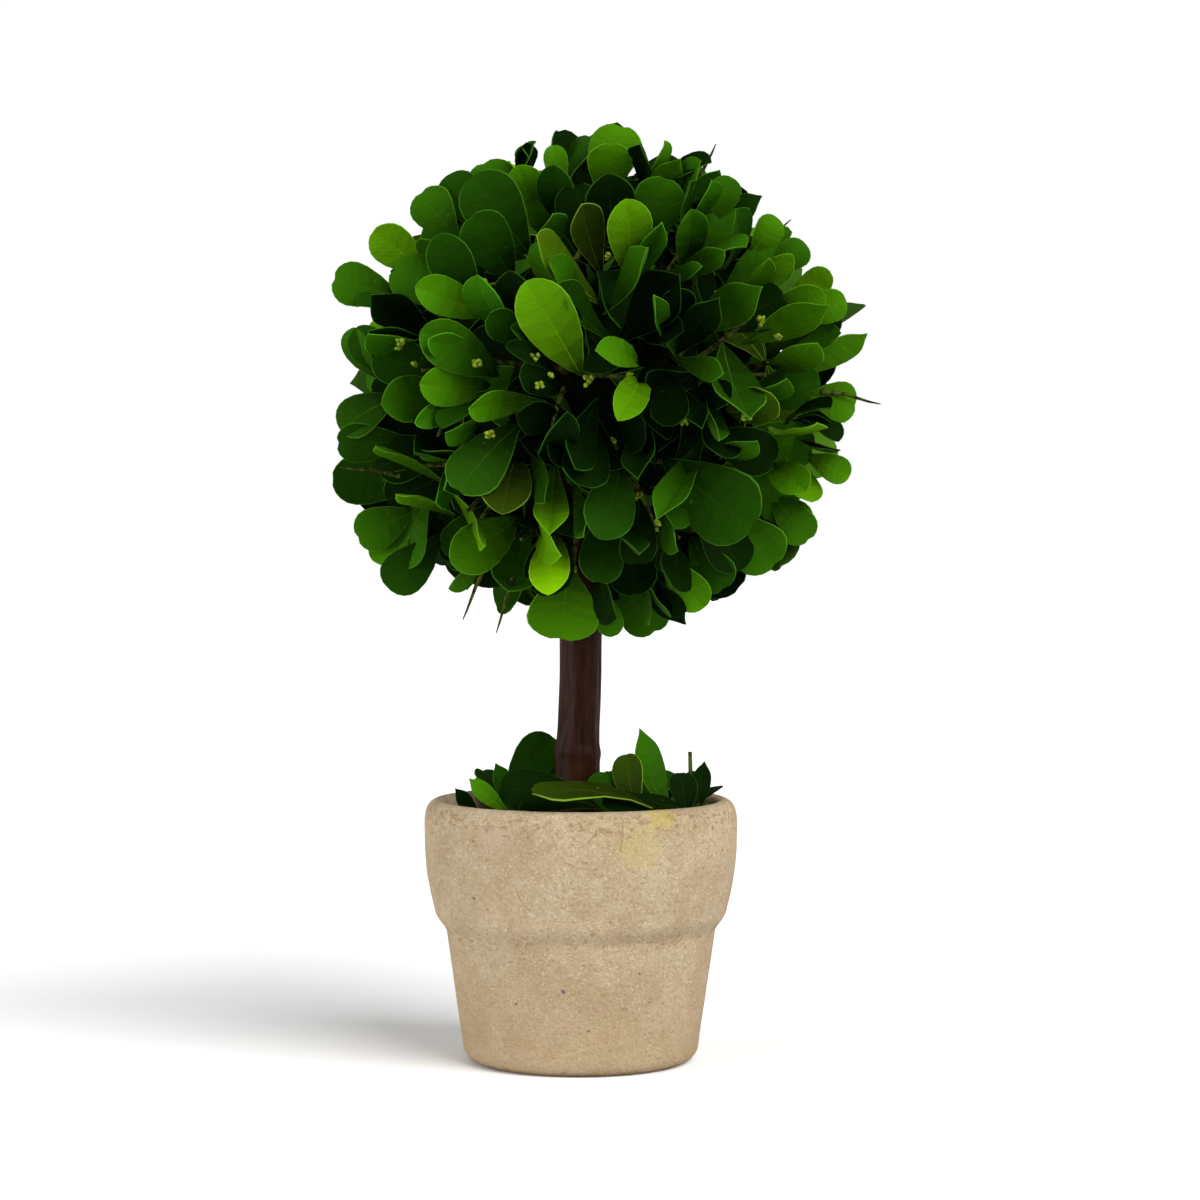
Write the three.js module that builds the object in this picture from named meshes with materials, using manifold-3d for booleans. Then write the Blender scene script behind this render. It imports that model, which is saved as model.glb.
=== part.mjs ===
// A miniature boxwood ball topiary: a ball of preserved boxwood sprigs on a cut stick, which stands in
// a small pressed clay pot with loose leaves laid round its foot. Units are millimetres and +Z is up.
// The origin is the centre of the pot's flat underside, and the front of the plant faces -Y.
//
// The stick is set in the plug that fills the pot and runs up into a foam ball. The sprigs are pushed
// into the foam in bunches, so the ball's foliage is one uneven solid for each bunch, cut clear of its
// neighbours and of the stick.

import * as THREE from "three";
import { mergeVertices } from "three/addons/utils/BufferGeometryUtils.js";
import Module from "manifold-3d";

const wasm = await Module();
wasm.setup();

// Driving dimensions.
const POT_HEIGHT = 63.5;
const POT_RIM_RADIUS = 38; // outside of the collar, at its widest
const POT_FOOT_RADIUS = 28.1; // where the side's line would meet the ground
const FOOT_ROUNDING = 4;
const POT_FLOOR = 6; // thickness of clay under the plug
const PLUG_TOP = 57;
const STICK_RADIUS = 5.1;
const STICK_FOOT = 20; // the stick's flat lower cut, deep in the plug
const STICK_TOP = 149; // its upper cut, inside the foam
const BALL_CENTRE = new THREE.Vector3(3.3, 0, 163.5); // the ball sits a little to the right of the stick
const FOAM_RADIUS = 35;
const BUNCH_ROOT = 36.2; // inner end of every bunch of sprigs, from the ball's centre
const GAP = 0.4; // clear space between two solids that would touch

const POT_SIDES = 40;
const STICK_SIDES = 16;
const BUNCH_SIDES = 16;
const BUNCH_ROWS = 8; // rows of faces from the outer pole of a bunch to its inner one
const OUTER_ROWS = 5; // how many of them lie on its leafy side

const clay = new THREE.MeshStandardMaterial({ color: 0xc4b195, roughness: 0.95 });
const moss = new THREE.MeshStandardMaterial({ color: 0x4a4028, roughness: 1 });
const bark = new THREE.MeshStandardMaterial({ color: 0x35211a, roughness: 0.45 });
const foam = new THREE.MeshStandardMaterial({ color: 0x1d2312, roughness: 1 });
const darkLeaf = new THREE.MeshStandardMaterial({ color: 0x1c4a08, roughness: 0.5 });
const midLeaf = new THREE.MeshStandardMaterial({ color: 0x35660a, roughness: 0.5 });
const paleLeaf = new THREE.MeshStandardMaterial({ color: 0x55880c, roughness: 0.5 });

const radians = THREE.MathUtils.degToRad;

// The direction with this azimuth, 0 at the front and growing towards +X, and this elevation, in degrees.
function direction(azimuth, elevation) {
  const a = radians(azimuth);
  const e = radians(elevation);
  return new THREE.Vector3(Math.sin(a) * Math.cos(e), -Math.cos(a) * Math.cos(e), Math.sin(e));
}

function solidOf(geometry) {
  const bare = geometry.clone();
  bare.deleteAttribute("normal");
  bare.deleteAttribute("uv");
  const merged = mergeVertices(bare, 1e-3);
  return new wasm.Manifold(
    new wasm.Mesh({
      numProp: 3,
      vertProperties: merged.attributes.position.array,
      triVerts: new Uint32Array(merged.index.array),
    }),
  );
}

function geometryOf(solid) {
  const mesh = solid.getMesh();
  const geometry = new THREE.BufferGeometry();
  geometry.setAttribute("position", new THREE.BufferAttribute(mesh.vertProperties, 3));
  geometry.setIndex(new THREE.BufferAttribute(mesh.triVerts, 1));
  geometry.computeVertexNormals();
  return geometry;
}

// A profile of radius and height, turned about the Z axis.
function turned(points, sides) {
  return new THREE.LatheGeometry(points, sides).rotateX(Math.PI / 2);
}

// A closed skin made from a sphere's vertices: place(share, around) gives the new place of the vertex at
// that share of the way from the first pole to the last and at that angle round the pole axis.
function closedSkin(sides, rows, place) {
  const geometry = new THREE.SphereGeometry(1, sides, rows);
  const vertex = geometry.attributes.position;
  for (let i = 0; i < vertex.count; i++) {
    const row = Math.floor(i / (sides + 1));
    const around = ((i % (sides + 1)) % sides) * ((2 * Math.PI) / sides);
    const p = place(row / rows, around);
    vertex.setXYZ(i, p.x, p.y, p.z);
  }
  geometry.computeVertexNormals();
  return geometry;
}

// --- The pot -----------------------------------------------------------------------------------
// A pressed clay pot: a tapering body, a soft step out to a deep collar, and a thick rounded rim.

const RIM_INSIDE = 32.2;
const BODY_TOP = new THREE.Vector2(32.3, 30); // where the body's straight side meets the step
const COLLAR_FOOT = new THREE.Vector2(36.2, 39.5);
const RIM_START = 57.5; // height where the collar's side begins to round over
const RIM_CREST_RADIUS = 35;
const INSIDE_FOOT = new THREE.Vector2(25.4, 10);

function potProfile() {
  const lean = Math.atan2(BODY_TOP.x - POT_FOOT_RADIUS, BODY_TOP.y);
  const roundingCentre = POT_FOOT_RADIUS + FOOT_ROUNDING * (Math.tan(lean) - 1 / Math.cos(lean));
  const outline = new THREE.Path();
  outline.moveTo(0, 0);
  outline.lineTo(roundingCentre, 0);
  outline.absarc(roundingCentre, FOOT_ROUNDING, FOOT_ROUNDING, -Math.PI / 2, -lean, false);
  outline.lineTo(BODY_TOP.x, BODY_TOP.y);
  outline.bezierCurveTo(32.9, 33.6, 35, 35, COLLAR_FOOT.x, COLLAR_FOOT.y);
  outline.quadraticCurveTo(37.6, 45, POT_RIM_RADIUS, RIM_START);
  outline.quadraticCurveTo(POT_RIM_RADIUS, POT_HEIGHT - 0.4, RIM_CREST_RADIUS, POT_HEIGHT);
  outline.quadraticCurveTo(RIM_INSIDE + 0.1, POT_HEIGHT, RIM_INSIDE, POT_HEIGHT - 4);
  outline.lineTo(INSIDE_FOOT.x, INSIDE_FOOT.y);
  outline.quadraticCurveTo(25, POT_FLOOR + 0.4, 21.5, POT_FLOOR);
  outline.lineTo(0, POT_FLOOR);
  return outline.getPoints(3);
}

// Radius of the pot's inner wall at a height between its floor's corner and its rim.
function insideRadius(z) {
  return THREE.MathUtils.mapLinear(z, INSIDE_FOOT.y, POT_HEIGHT - 4, INSIDE_FOOT.x, RIM_INSIDE);
}

// --- The plug ----------------------------------------------------------------------------------
// The moss-covered plug that holds the stick. It fills the pot to a few millimetres below the rim.

function plugGeometry() {
  const low = INSIDE_FOOT.y + 1;
  const edge = 2; // its upper edge is worn round
  const profile = [
    new THREE.Vector2(0, POT_FLOOR + GAP),
    new THREE.Vector2(20.5, POT_FLOOR + GAP),
    new THREE.Vector2(insideRadius(low) - GAP, low),
    new THREE.Vector2(insideRadius(PLUG_TOP - edge) - GAP, PLUG_TOP - edge),
    new THREE.Vector2(insideRadius(PLUG_TOP) - edge, PLUG_TOP),
    new THREE.Vector2(0, PLUG_TOP),
  ];
  return cutForStick(turned(profile, POT_SIDES));
}

// --- The stick ---------------------------------------------------------------------------------
// A cut hardwood stick with a leaf joint low down. It swells to a ring there, and is a little thicker
// and leans a little to the left below it.

const JOINT_HEIGHT = 75;

function stickRadius(z) {
  const below = THREE.MathUtils.smoothstep(z, JOINT_HEIGHT - 4, JOINT_HEIGHT + 8);
  const ring = Math.exp(-(((z - JOINT_HEIGHT) / 1.6) ** 2));
  const taper = 0.25 * THREE.MathUtils.smoothstep(z, JOINT_HEIGHT, STICK_TOP);
  return STICK_RADIUS + 0.45 * (1 - below) + 0.4 * ring - taper;
}

function stickMiddle(z) {
  const lean = 1 - THREE.MathUtils.smoothstep(z, JOINT_HEIGHT - 5, JOINT_HEIGHT + 22);
  return -0.75 * lean;
}

function stickGeometry() {
  const heights = [STICK_FOOT, 40, 60, 69];
  for (let step = -3; step <= 3; step++) heights.push(JOINT_HEIGHT + 1.2 * step);
  heights.push(82, 90, 100, 115, 132, STICK_TOP);
  const profile = [new THREE.Vector2(0, STICK_FOOT)];
  for (const z of heights) profile.push(new THREE.Vector2(stickRadius(z), z));
  profile.push(new THREE.Vector2(0, STICK_TOP));
  const geometry = turned(profile, STICK_SIDES);
  const vertex = geometry.attributes.position;
  for (let i = 0; i < vertex.count; i++) vertex.setX(i, vertex.getX(i) + stickMiddle(vertex.getZ(i)));
  geometry.computeVertexNormals();
  return geometry;
}

// A geometry with a clear hole through it where the stick stands.
function cutForStick(geometry) {
  const clearance = STICK_RADIUS + 1.6;
  const length = STICK_TOP - STICK_FOOT + 2 * GAP;
  const hole = new THREE.CylinderGeometry(clearance, clearance, length, STICK_SIDES).rotateX(Math.PI / 2);
  hole.translate(0, 0, (STICK_TOP + STICK_FOOT) / 2);
  return geometryOf(solidOf(geometry).subtract(solidOf(hole)));
}

function foamGeometry() {
  const ball = new THREE.IcosahedronGeometry(FOAM_RADIUS, 3);
  return cutForStick(ball.translate(BALL_CENTRE.x, BALL_CENTRE.y, BALL_CENTRE.z));
}

// --- The bunches of sprigs ---------------------------------------------------------------------
// Five rows of bunches cover the ball. reach is how far each bunch's leaf tips stand from the ball's
// centre, which gives the ball its uneven outline. The bunches of a row are evenly spaced, and first is
// the azimuth of the first of them.

const ROWS = [
  { name: "top", elevation: 84, first: 60, reach: [65.5] },
  { name: "upper", elevation: 43, first: -22, reach: [64, 63, 62, 64, 63, 66] },
  { name: "middle", elevation: 4, first: -11, reach: [64, 65, 68, 64, 63, 66, 66] },
  { name: "lower", elevation: -36, first: 16, reach: [64, 66.5, 64, 65, 70, 70] },
  { name: "under", elevation: -67, first: -15, reach: [66.5, 64, 63, 64] },
];

function listBunches() {
  const found = [];
  for (const row of ROWS) {
    row.reach.forEach((reach, i) => {
      const azimuth = row.first + (360 / row.reach.length) * i;
      const name = row.reach.length > 1 ? `sprigs_${row.name}_${i + 1}` : `sprigs_${row.name}`;
      found.push({ name, reach, azimuth, row: row.name, axis: direction(azimuth, row.elevation) });
    });
  }
  return found;
}

// Each wall bounds a bunch. The bunch keeps to the side where normal . point is over distance, with
// the point measured from the ball's centre.
function wallsOf(bunch, bunches) {
  const walls = bunches
    .filter((other) => other !== bunch)
    .map((other) => ({ normal: bunch.axis.clone().sub(other.axis).normalize(), distance: GAP / 2 }));
  if (bunch.row === "under") {
    const away = direction(bunch.azimuth, 0);
    walls.push({ normal: away, distance: STICK_RADIUS + 1 - away.dot(BALL_CENTRE.clone().setZ(0)) });
  }
  return walls;
}

// The widest angle from the axis, towards side, that keeps a point at this radius inside every wall.
function widestAngle(axis, side, walls, radius) {
  let widest = Math.PI / 3;
  for (const { normal, distance } of walls) {
    const along = normal.dot(axis);
    const across = normal.dot(side);
    const size = Math.hypot(along, across);
    const spread = Math.acos(THREE.MathUtils.clamp(distance / radius / size, -1, 1));
    const angle = Math.atan2(across, along) + spread;
    if (angle > 0 && angle < widest) widest = angle;
  }
  return widest;
}

// Height of the leaf clumps above a bunch's own curve, which runs on evenly from bunch to bunch.
function clumps(u) {
  const broad = Math.sin(6.1 * u.x + 2.3 * u.z + 0.7) * Math.sin(5.3 * u.y - 3.1 * u.z + 1.9);
  const fine = Math.sin(11.7 * u.z + 4.1 * u.y) * Math.sin(12.9 * u.x - 5.7 * u.y + 0.4);
  return 1.3 * broad + 0.9 * fine;
}

// Share of a bunch's reach at a share of the way from its middle to its edge. Its leaves open like a
// rosette, so the middle dips, and the edge falls away into the groove between two bunches.
function rosette(share) {
  return 1 - 0.07 * Math.exp(-((share / 0.28) ** 2)) - 0.13 * share ** 4;
}

function bunchGeometry(bunch, bunches, index) {
  const walls = wallsOf(bunch, bunches);
  const across = new THREE.Vector3(0, 0, 1).cross(bunch.axis).normalize();
  const up = bunch.axis.clone().cross(across);
  const leaves = 5 + (index % 2); // how many leaves the rosette's edge shows
  return closedSkin(BUNCH_SIDES, BUNCH_ROWS, (share, around) => {
    const side = across.clone().multiplyScalar(Math.cos(around)).addScaledVector(up, Math.sin(around));
    const widest = widestAngle(bunch.axis, side, walls, BUNCH_ROOT);
    const outer = share * BUNCH_ROWS <= OUTER_ROWS;
    const out = outer
      ? (share * BUNCH_ROWS) / OUTER_ROWS
      : ((1 - share) * BUNCH_ROWS) / (BUNCH_ROWS - OUTER_ROWS - 1);
    const angle = widest * Math.min(out, 1);
    const u = bunch.axis.clone().multiplyScalar(Math.cos(angle)).addScaledVector(side, Math.sin(angle));
    if (!outer) return u.multiplyScalar(BUNCH_ROOT).add(BALL_CENTRE);
    const scallop = 1.4 * out ** 2 * Math.cos(leaves * around + index);
    return u.multiplyScalar(bunch.reach * rosette(out) + clumps(u) + scallop).add(BALL_CENTRE);
  });
}

// --- The leaves in the pot ---------------------------------------------------------------------
// Loose leaves laid and stood on the plug round the stick, as five uneven heaps with a gap between each two.

const HEAPS = [
  { name: "front", from: -45, to: 38, height: 10.5, lobes: 3 },
  { name: "right", from: 38, to: 104, height: 20, lobes: 4 },
  { name: "back_right", from: 104, to: 172, height: 14, lobes: 3 },
  { name: "back_left", from: 172, to: 250, height: 20, lobes: 2 },
  { name: "left", from: 250, to: 315, height: 11, lobes: 3 },
];
const HEAP_EDGE = RIM_INSIDE - 0.6; // the heaps stay inside the rim
const HEAP_SIDES = 20;
const HEAP_ROWS = 7;
const HEAP_MIDDLE = 19; // how far a heap's middle stands from the stick's axis

// How far the heap runs from its middle towards this side before it meets the stick, a neighbour or the rim.
function heapRun(heap, middle, side) {
  const mean = (heap.from + heap.to) / 2;
  const walls = [
    { normal: direction(mean, 0), distance: STICK_RADIUS + 1.9 },
    { normal: direction(heap.from + 90, 0), distance: GAP / 2 },
    { normal: direction(heap.to - 90, 0), distance: GAP / 2 },
  ];
  const along = middle.dot(side);
  let run = -along + Math.sqrt(along ** 2 + HEAP_EDGE ** 2 - middle.lengthSq());
  for (const { normal, distance } of walls) {
    const slope = normal.dot(side);
    if (slope < 0) run = Math.min(run, (distance - normal.dot(middle)) / slope);
  }
  return run;
}

function heapGeometry(heap) {
  const middle = direction((heap.from + heap.to) / 2, 0).multiplyScalar(HEAP_MIDDLE);
  const floor = PLUG_TOP + GAP;
  return closedSkin(HEAP_SIDES, HEAP_ROWS, (share, around) => {
    const side = new THREE.Vector3(Math.cos(around), Math.sin(around), 0);
    const top = share * HEAP_ROWS <= HEAP_ROWS - 2;
    const out = top ? (share * HEAP_ROWS) / (HEAP_ROWS - 2) : (1 - share) * HEAP_ROWS;
    const run = heapRun(heap, middle, side) * Math.min(out, 1);
    const lobe = 1 + 0.28 * out * Math.cos(heap.lobes * around + heap.height);
    const height = top ? 2 + (heap.height - 2) * Math.min(1, lobe) * (1 - out ** 2) ** 0.7 : 0;
    return middle.clone().addScaledVector(side, run).setZ(floor + height);
  });
}

// --- The whole plant ---------------------------------------------------------------------------

const topiary = new THREE.Group();

function add(name, geometry, material) {
  const mesh = new THREE.Mesh(geometry, material);
  mesh.name = name;
  topiary.add(mesh);
}

add("pot", turned(potProfile(), POT_SIDES), clay);
add("pot_plug", plugGeometry(), moss);
add("trunk", stickGeometry(), bark);
add("ball_core", foamGeometry(), foam);
const bunches = listBunches();
bunches.forEach((bunch, i) => {
  const tint = [darkLeaf, midLeaf, paleLeaf][i % 3];
  add(bunch.name, bunchGeometry(bunch, bunches, i), tint);
});
for (const heap of HEAPS) add(`pot_leaves_${heap.name}`, heapGeometry(heap), midLeaf);

export default topiary;
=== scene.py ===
# The looks of a miniature boxwood ball topiary: preserved boxwood sprigs pushed into a foam ball, on a cut
# stick that is set in a small aged clay pot, with loose leaves laid round its foot. Metres, +Z up, the
# front of the plant faces -Y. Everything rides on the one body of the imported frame, which doesn't move.

import math
import random

import bpy
from mathutils import Matrix, Quaternion, Vector, noise
from mathutils.bvhtree import BVHTree


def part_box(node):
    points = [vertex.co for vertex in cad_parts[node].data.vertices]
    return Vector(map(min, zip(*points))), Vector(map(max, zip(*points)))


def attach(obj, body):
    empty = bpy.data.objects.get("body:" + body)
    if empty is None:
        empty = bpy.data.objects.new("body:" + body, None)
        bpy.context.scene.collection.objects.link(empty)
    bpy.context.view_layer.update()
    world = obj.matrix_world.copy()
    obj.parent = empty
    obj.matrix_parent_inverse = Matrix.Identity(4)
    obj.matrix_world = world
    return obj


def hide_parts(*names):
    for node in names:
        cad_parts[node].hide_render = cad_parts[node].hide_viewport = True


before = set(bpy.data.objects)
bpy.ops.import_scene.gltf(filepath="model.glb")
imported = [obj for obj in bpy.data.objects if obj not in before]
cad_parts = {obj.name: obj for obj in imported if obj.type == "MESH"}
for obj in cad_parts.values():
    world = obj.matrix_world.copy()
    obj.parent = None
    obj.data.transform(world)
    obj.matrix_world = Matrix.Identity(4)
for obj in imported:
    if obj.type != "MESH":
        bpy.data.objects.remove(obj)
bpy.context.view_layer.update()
MM = 0.001

# ---- The pot ---------------------------------------------------------------------------------------------
# A small flower pot of coarse buff clay, pressed in a mould, fired soft and left unglazed. Its foot and its
# collar's edges are worn round, and its wall is a little uneven, because it was finished by hand.

POT_LOW, POT_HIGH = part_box("pot")
POT_HEIGHT = POT_HIGH.z - POT_LOW.z
RIM_RADIUS = (POT_HIGH.x - POT_LOW.x) / 2
FOOT_RADIUS = 28.1 * MM  # where the side's line would meet the table
FOOT_ROUNDING = 4 * MM
STEP_LOW = (32.6 * MM, 31.4 * MM)  # radius and height where the step out to the collar begins
STEP_HIGH = (35.5 * MM, 36.8 * MM)
COLLAR_TOP = 57.5 * MM
CREST_RADIUS = 34.9 * MM
MOUTH_RADIUS = 32.2 * MM
POT_FLOOR = 6 * MM
POT_SIDES = 320


def bezier(points, steps):
    """The points after the first along a Bezier curve of any degree."""
    found = []
    for i in range(1, steps + 1):
        row = [Vector(p) for p in points]
        while len(row) > 1:
            row = [a.lerp(b, i / steps) for a, b in zip(row, row[1:])]
        found.append(tuple(row[0]))
    return found


def pot_outline():
    """Radius and height from the middle of the underside, up the outside, over the rim and down inside."""
    lean = math.atan2(STEP_LOW[0] - FOOT_RADIUS, STEP_LOW[1])
    middle = FOOT_RADIUS + FOOT_ROUNDING * (math.tan(lean) - 1 / math.cos(lean))
    foot = [(0, 0)] + bezier([(0, 0), (middle, 0)], 12)
    turn = math.pi / 2 - lean
    for i in range(1, 10):
        a = -math.pi / 2 + turn * i / 9
        foot.append((middle + FOOT_ROUNDING * math.cos(a), FOOT_ROUNDING * (1 + math.sin(a))))
    step = [STEP_LOW, (32.7 * MM, 32.9 * MM), (35.0 * MM, 34.4 * MM), STEP_HIGH]
    rim = [(RIM_RADIUS, COLLAR_TOP), (RIM_RADIUS, POT_HEIGHT - 0.4 * MM), (CREST_RADIUS, POT_HEIGHT)]
    lip = [rim[-1], (MOUTH_RADIUS + 0.1 * MM, POT_HEIGHT), (MOUTH_RADIUS, POT_HEIGHT - 4 * MM)]
    return (
        foot
        + bezier([foot[-1], STEP_LOW], 34)
        + bezier(step, 16)
        + bezier([STEP_HIGH, (36.6 * MM, 41.5 * MM), (38 * MM, 46 * MM), rim[0]], 24)
        + bezier(rim, 10)
        + bezier(lip, 9)
        + bezier([lip[-1], (30.3 * MM, 45 * MM)], 14)
        + bezier([(30.3 * MM, 45 * MM), (25.4 * MM, 10 * MM), (25 * MM, POT_FLOOR), (21 * MM, POT_FLOOR)], 12)
        + bezier([(21 * MM, POT_FLOOR), (0, POT_FLOOR)], 4)
    )


OUTSIDE_POINTS = 90  # of the outline, from the foot's rounding to the rim's


def wall_radius(height):
    """The radius of the pot's outside at a height."""
    wall = [p for p in pot_outline() if p[0] > FOOT_RADIUS - FOOT_ROUNDING][:OUTSIDE_POINTS]
    return min(wall, key=lambda p: abs(p[1] - height))[0]


def piece_from(name, data):
    """Puts a mesh, a lamp or a camera in the scene."""
    made = bpy.data.objects.new(name, data)
    bpy.context.scene.collection.objects.link(made)
    return made


def ringed(name, low, rings, high):
    """A closed smooth piece through rings of points, from a low point to a high one."""
    sides, last = len(rings[0]), len(rings) - 1
    points = [low] + [point for ring in rings for point in ring] + [high]
    faces = []
    for i in range(sides):
        j = (i + 1) % sides
        faces.append((0, 1 + j, 1 + i))
        for row in range(last):
            under, over = 1 + row * sides, 1 + (row + 1) * sides
            faces.append((under + i, under + j, over + j, over + i))
        faces.append((1 + last * sides + i, 1 + last * sides + j, len(points) - 1))
    mesh = bpy.data.meshes.new(name)
    mesh.from_pydata(points, [], faces)
    mesh.shade_smooth()
    return piece_from(name, mesh)


def turned(name, outline, sides):
    """A closed piece that turns an outline of radius and height, from axis to axis, about Z."""
    circle = [(math.cos(2 * math.pi * i / sides), math.sin(2 * math.pi * i / sides)) for i in range(sides)]
    rings = [[(radius * x, radius * y, height) for x, y in circle] for radius, height in outline[1:-1]]
    return ringed(name, (0, 0, outline[0][1]), rings, (0, 0, outline[-1][1]))


def linear(code):
    """The linear colour, with alpha, of an sRGB hex value."""
    parts = [int(code[i : i + 2], 16) / 255 for i in (1, 3, 5)]
    return tuple(c / 12.92 if c <= 0.04045 else ((c + 0.055) / 1.055) ** 2.4 for c in parts) + (1.0,)


def feed(tree, node, feeds):
    """Gives inputs, by name, identifier or number, a value, a hex colour, or the socket or node that drives
    them. A node drives with the first of its outputs that its settings leave on."""
    for key, value in feeds.items():
        socket = next((s for s in node.inputs if s.identifier == key), None) or node.inputs[key]
        if isinstance(value, bpy.types.Node):
            value = next(s for s in value.outputs if s.enabled)
        if isinstance(value, bpy.types.NodeSocket):
            tree.links.new(value, socket)
        else:
            socket.default_value = linear(value) if socket.type == "RGBA" else value


def add(tree, kind, feeds=None, **settings):
    """Adds a node with its settings and feeds its inputs."""
    made = tree.nodes.new(kind)
    for name, value in settings.items():
        setattr(made, name, value)
    feed(tree, made, feeds or {})
    return made


def new_tree(name, inputs):
    """A Geometry Nodes tree with a geometry in and out and these inputs, as (name, kind, value)."""
    tree = bpy.data.node_groups.new(name, "GeometryNodeTree")
    tree.interface.new_socket("Geometry", in_out="INPUT", socket_type="NodeSocketGeometry")
    for label, kind, value in inputs:
        socket = tree.interface.new_socket(label, in_out="INPUT", socket_type="NodeSocket" + kind)
        if value is not None:
            socket.default_value = value
    tree.interface.new_socket("Geometry", in_out="OUTPUT", socket_type="NodeSocketGeometry")
    return tree, add(tree, "NodeGroupInput").outputs, add(tree, "NodeGroupOutput")


def settle(piece, tree, values):
    """Runs a Geometry Nodes tree with these values on a piece and keeps the result as its plain mesh."""
    modifier = piece.modifiers.new(tree.name, "NODES")
    modifier.node_group = tree
    for item in tree.interface.items_tree:
        if item.in_out == "INPUT" and item.name in values:
            modifier[item.identifier] = values[item.name]
    piece.update_tag()
    graph = bpy.context.evaluated_depsgraph_get()
    done = piece.evaluated_get(graph)
    mesh = bpy.data.meshes.new_from_object(done, preserve_all_data_layers=True, depsgraph=graph)
    piece.modifiers.clear()
    old = piece.data
    piece.data = mesh
    bpy.data.meshes.remove(old)
    mesh.name = piece.name
    return piece


UNDERSIDE = 0.3 * MM  # nothing below this moves, so that the pot stands flat


def relief_tree():
    """Moves a surface along its normals by two sizes of noise, broad dents and a finer roughness."""
    sizes = [
        ("Dent Width", "Float", 12 * MM),
        ("Dent Depth", "Float", 0.4 * MM),
        ("Rough Width", "Float", 2 * MM),
        ("Rough Depth", "Float", 0.1 * MM),
        ("Seed", "Float", 0.0),
    ]
    tree, given, result = new_tree("hand_relief", sizes)
    place = add(tree, "GeometryNodeInputPosition")
    total = 0.0
    for width, depth in (("Dent Width", "Dent Depth"), ("Rough Width", "Rough Depth")):
        scale = add(tree, "ShaderNodeMath", {0: 1.0, 1: given[width]}, operation="DIVIDE")
        feeds = {"Vector": place, "W": given["Seed"], "Scale": scale, "Detail": 2.0}
        lumps = add(tree, "ShaderNodeTexNoise", feeds, noise_dimensions="4D")
        centred = add(tree, "ShaderNodeMath", {0: lumps, 1: 0.5}, operation="SUBTRACT")
        shift = add(tree, "ShaderNodeMath", {0: centred, 1: given[depth]}, operation="MULTIPLY")
        total = add(tree, "ShaderNodeMath", {0: total, 1: shift})
    normal = add(tree, "GeometryNodeInputNormal")
    shift = add(tree, "ShaderNodeVectorMath", {"Vector": normal, "Scale": total}, operation="SCALE")
    height = add(tree, "ShaderNodeSeparateXYZ", {"Vector": place}).outputs["Z"]
    feeds = {"A": height, "B": UNDERSIDE}
    free = add(tree, "FunctionNodeCompare", feeds, data_type="FLOAT", operation="GREATER_THAN")
    feeds = {"Geometry": given["Geometry"], "Offset": shift, "Selection": free}
    feed(tree, result, {"Geometry": add(tree, "GeometryNodeSetPosition", feeds)})
    return tree


def new_material(name, code, roughness, gloss):
    """A material with a plain colour, roughness and specular level, its node tree and its shader."""
    material = bpy.data.materials.new(name)
    material.use_nodes = True
    shader = material.node_tree.nodes["Principled BSDF"]
    plain_look = {"Base Color": code, "Roughness": roughness, "Specular IOR Level": gloss}
    feed(material.node_tree, shader, plain_look)
    material.diffuse_color = linear(code)
    return material, material.node_tree, shader


def lay_over(tree, under, code, value, low, high, at_low=0.0, at_high=1.0, mask=1.0):
    """Lays a colour over another one, from one strength where value reads low to the other where it reads
    high, smoothly, and only as far as the mask lets it."""
    feeds = {"Value": value, "From Min": low, "From Max": high, "To Min": at_low, "To Max": at_high}
    share = add(tree, "ShaderNodeMapRange", feeds, interpolation_type="SMOOTHSTEP")
    share = add(tree, "ShaderNodeMath", {0: share, 1: mask}, operation="MULTIPLY")
    feeds = {"Factor_Float": share, "A_Color": under, "B_Color": code}
    return add(tree, "ShaderNodeMix", feeds, data_type="RGBA")


def band(tree, value, edges):
    """1 where value lies between the two middle edges, falling smoothly to 0 at the two outer ones."""
    rise = {"Value": value, "From Min": edges[0], "From Max": edges[1]}
    fall = {"Value": value, "From Min": edges[2], "From Max": edges[3], "To Min": 1.0, "To Max": 0.0}
    rise = add(tree, "ShaderNodeMapRange", rise, interpolation_type="SMOOTHSTEP")
    fall = add(tree, "ShaderNodeMapRange", fall, interpolation_type="SMOOTHSTEP")
    return add(tree, "ShaderNodeMath", {0: rise, 1: fall}, operation="MULTIPLY")


# The clay's mottles, from sand to the blushes of the firing: width in millimetres, detail, roughness, seed.
CLAY_MOTTLES = [
    (0.9, 4.0, 0.75, 0.3),  # grain
    (0.55, 2.0, 0.5, 8.1),  # sand
    (1.8, 3.0, 0.7, 5.5),  # flecks, which lie flat
    (9, 5.0, 0.65, 4.2),  # clouds
    (22, 3.0, 0.5, 1.7),  # blushes
    (30, 2.0, 0.5, 9.4),  # stains
    (9, 2.0, 0.5, 6.6),  # where iron specks are
]
# The dark line under the collar is painted shade, where the collar's step overhangs the body.
CREASE = (29 * MM, 32.5 * MM, 33 * MM, 35.5 * MM)  # heights of the dark line under the collar
# Bands that are rubbed and stained more than the rest: their four heights, and by how much.
RUBBED_BANDS = [
    ((56 * MM, 60 * MM, 62 * MM, 63.2 * MM), 0.1),
    (CREASE, 0.05),
    ((-2 * MM, -1 * MM, 0.4 * MM, 2.2 * MM), 0.14),
]
IRON_SPACING = 6 * MM
PIT_SPACING = 1.8 * MM
CRACK_WANDER = 1.6 * MM  # to either side of its line
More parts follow.
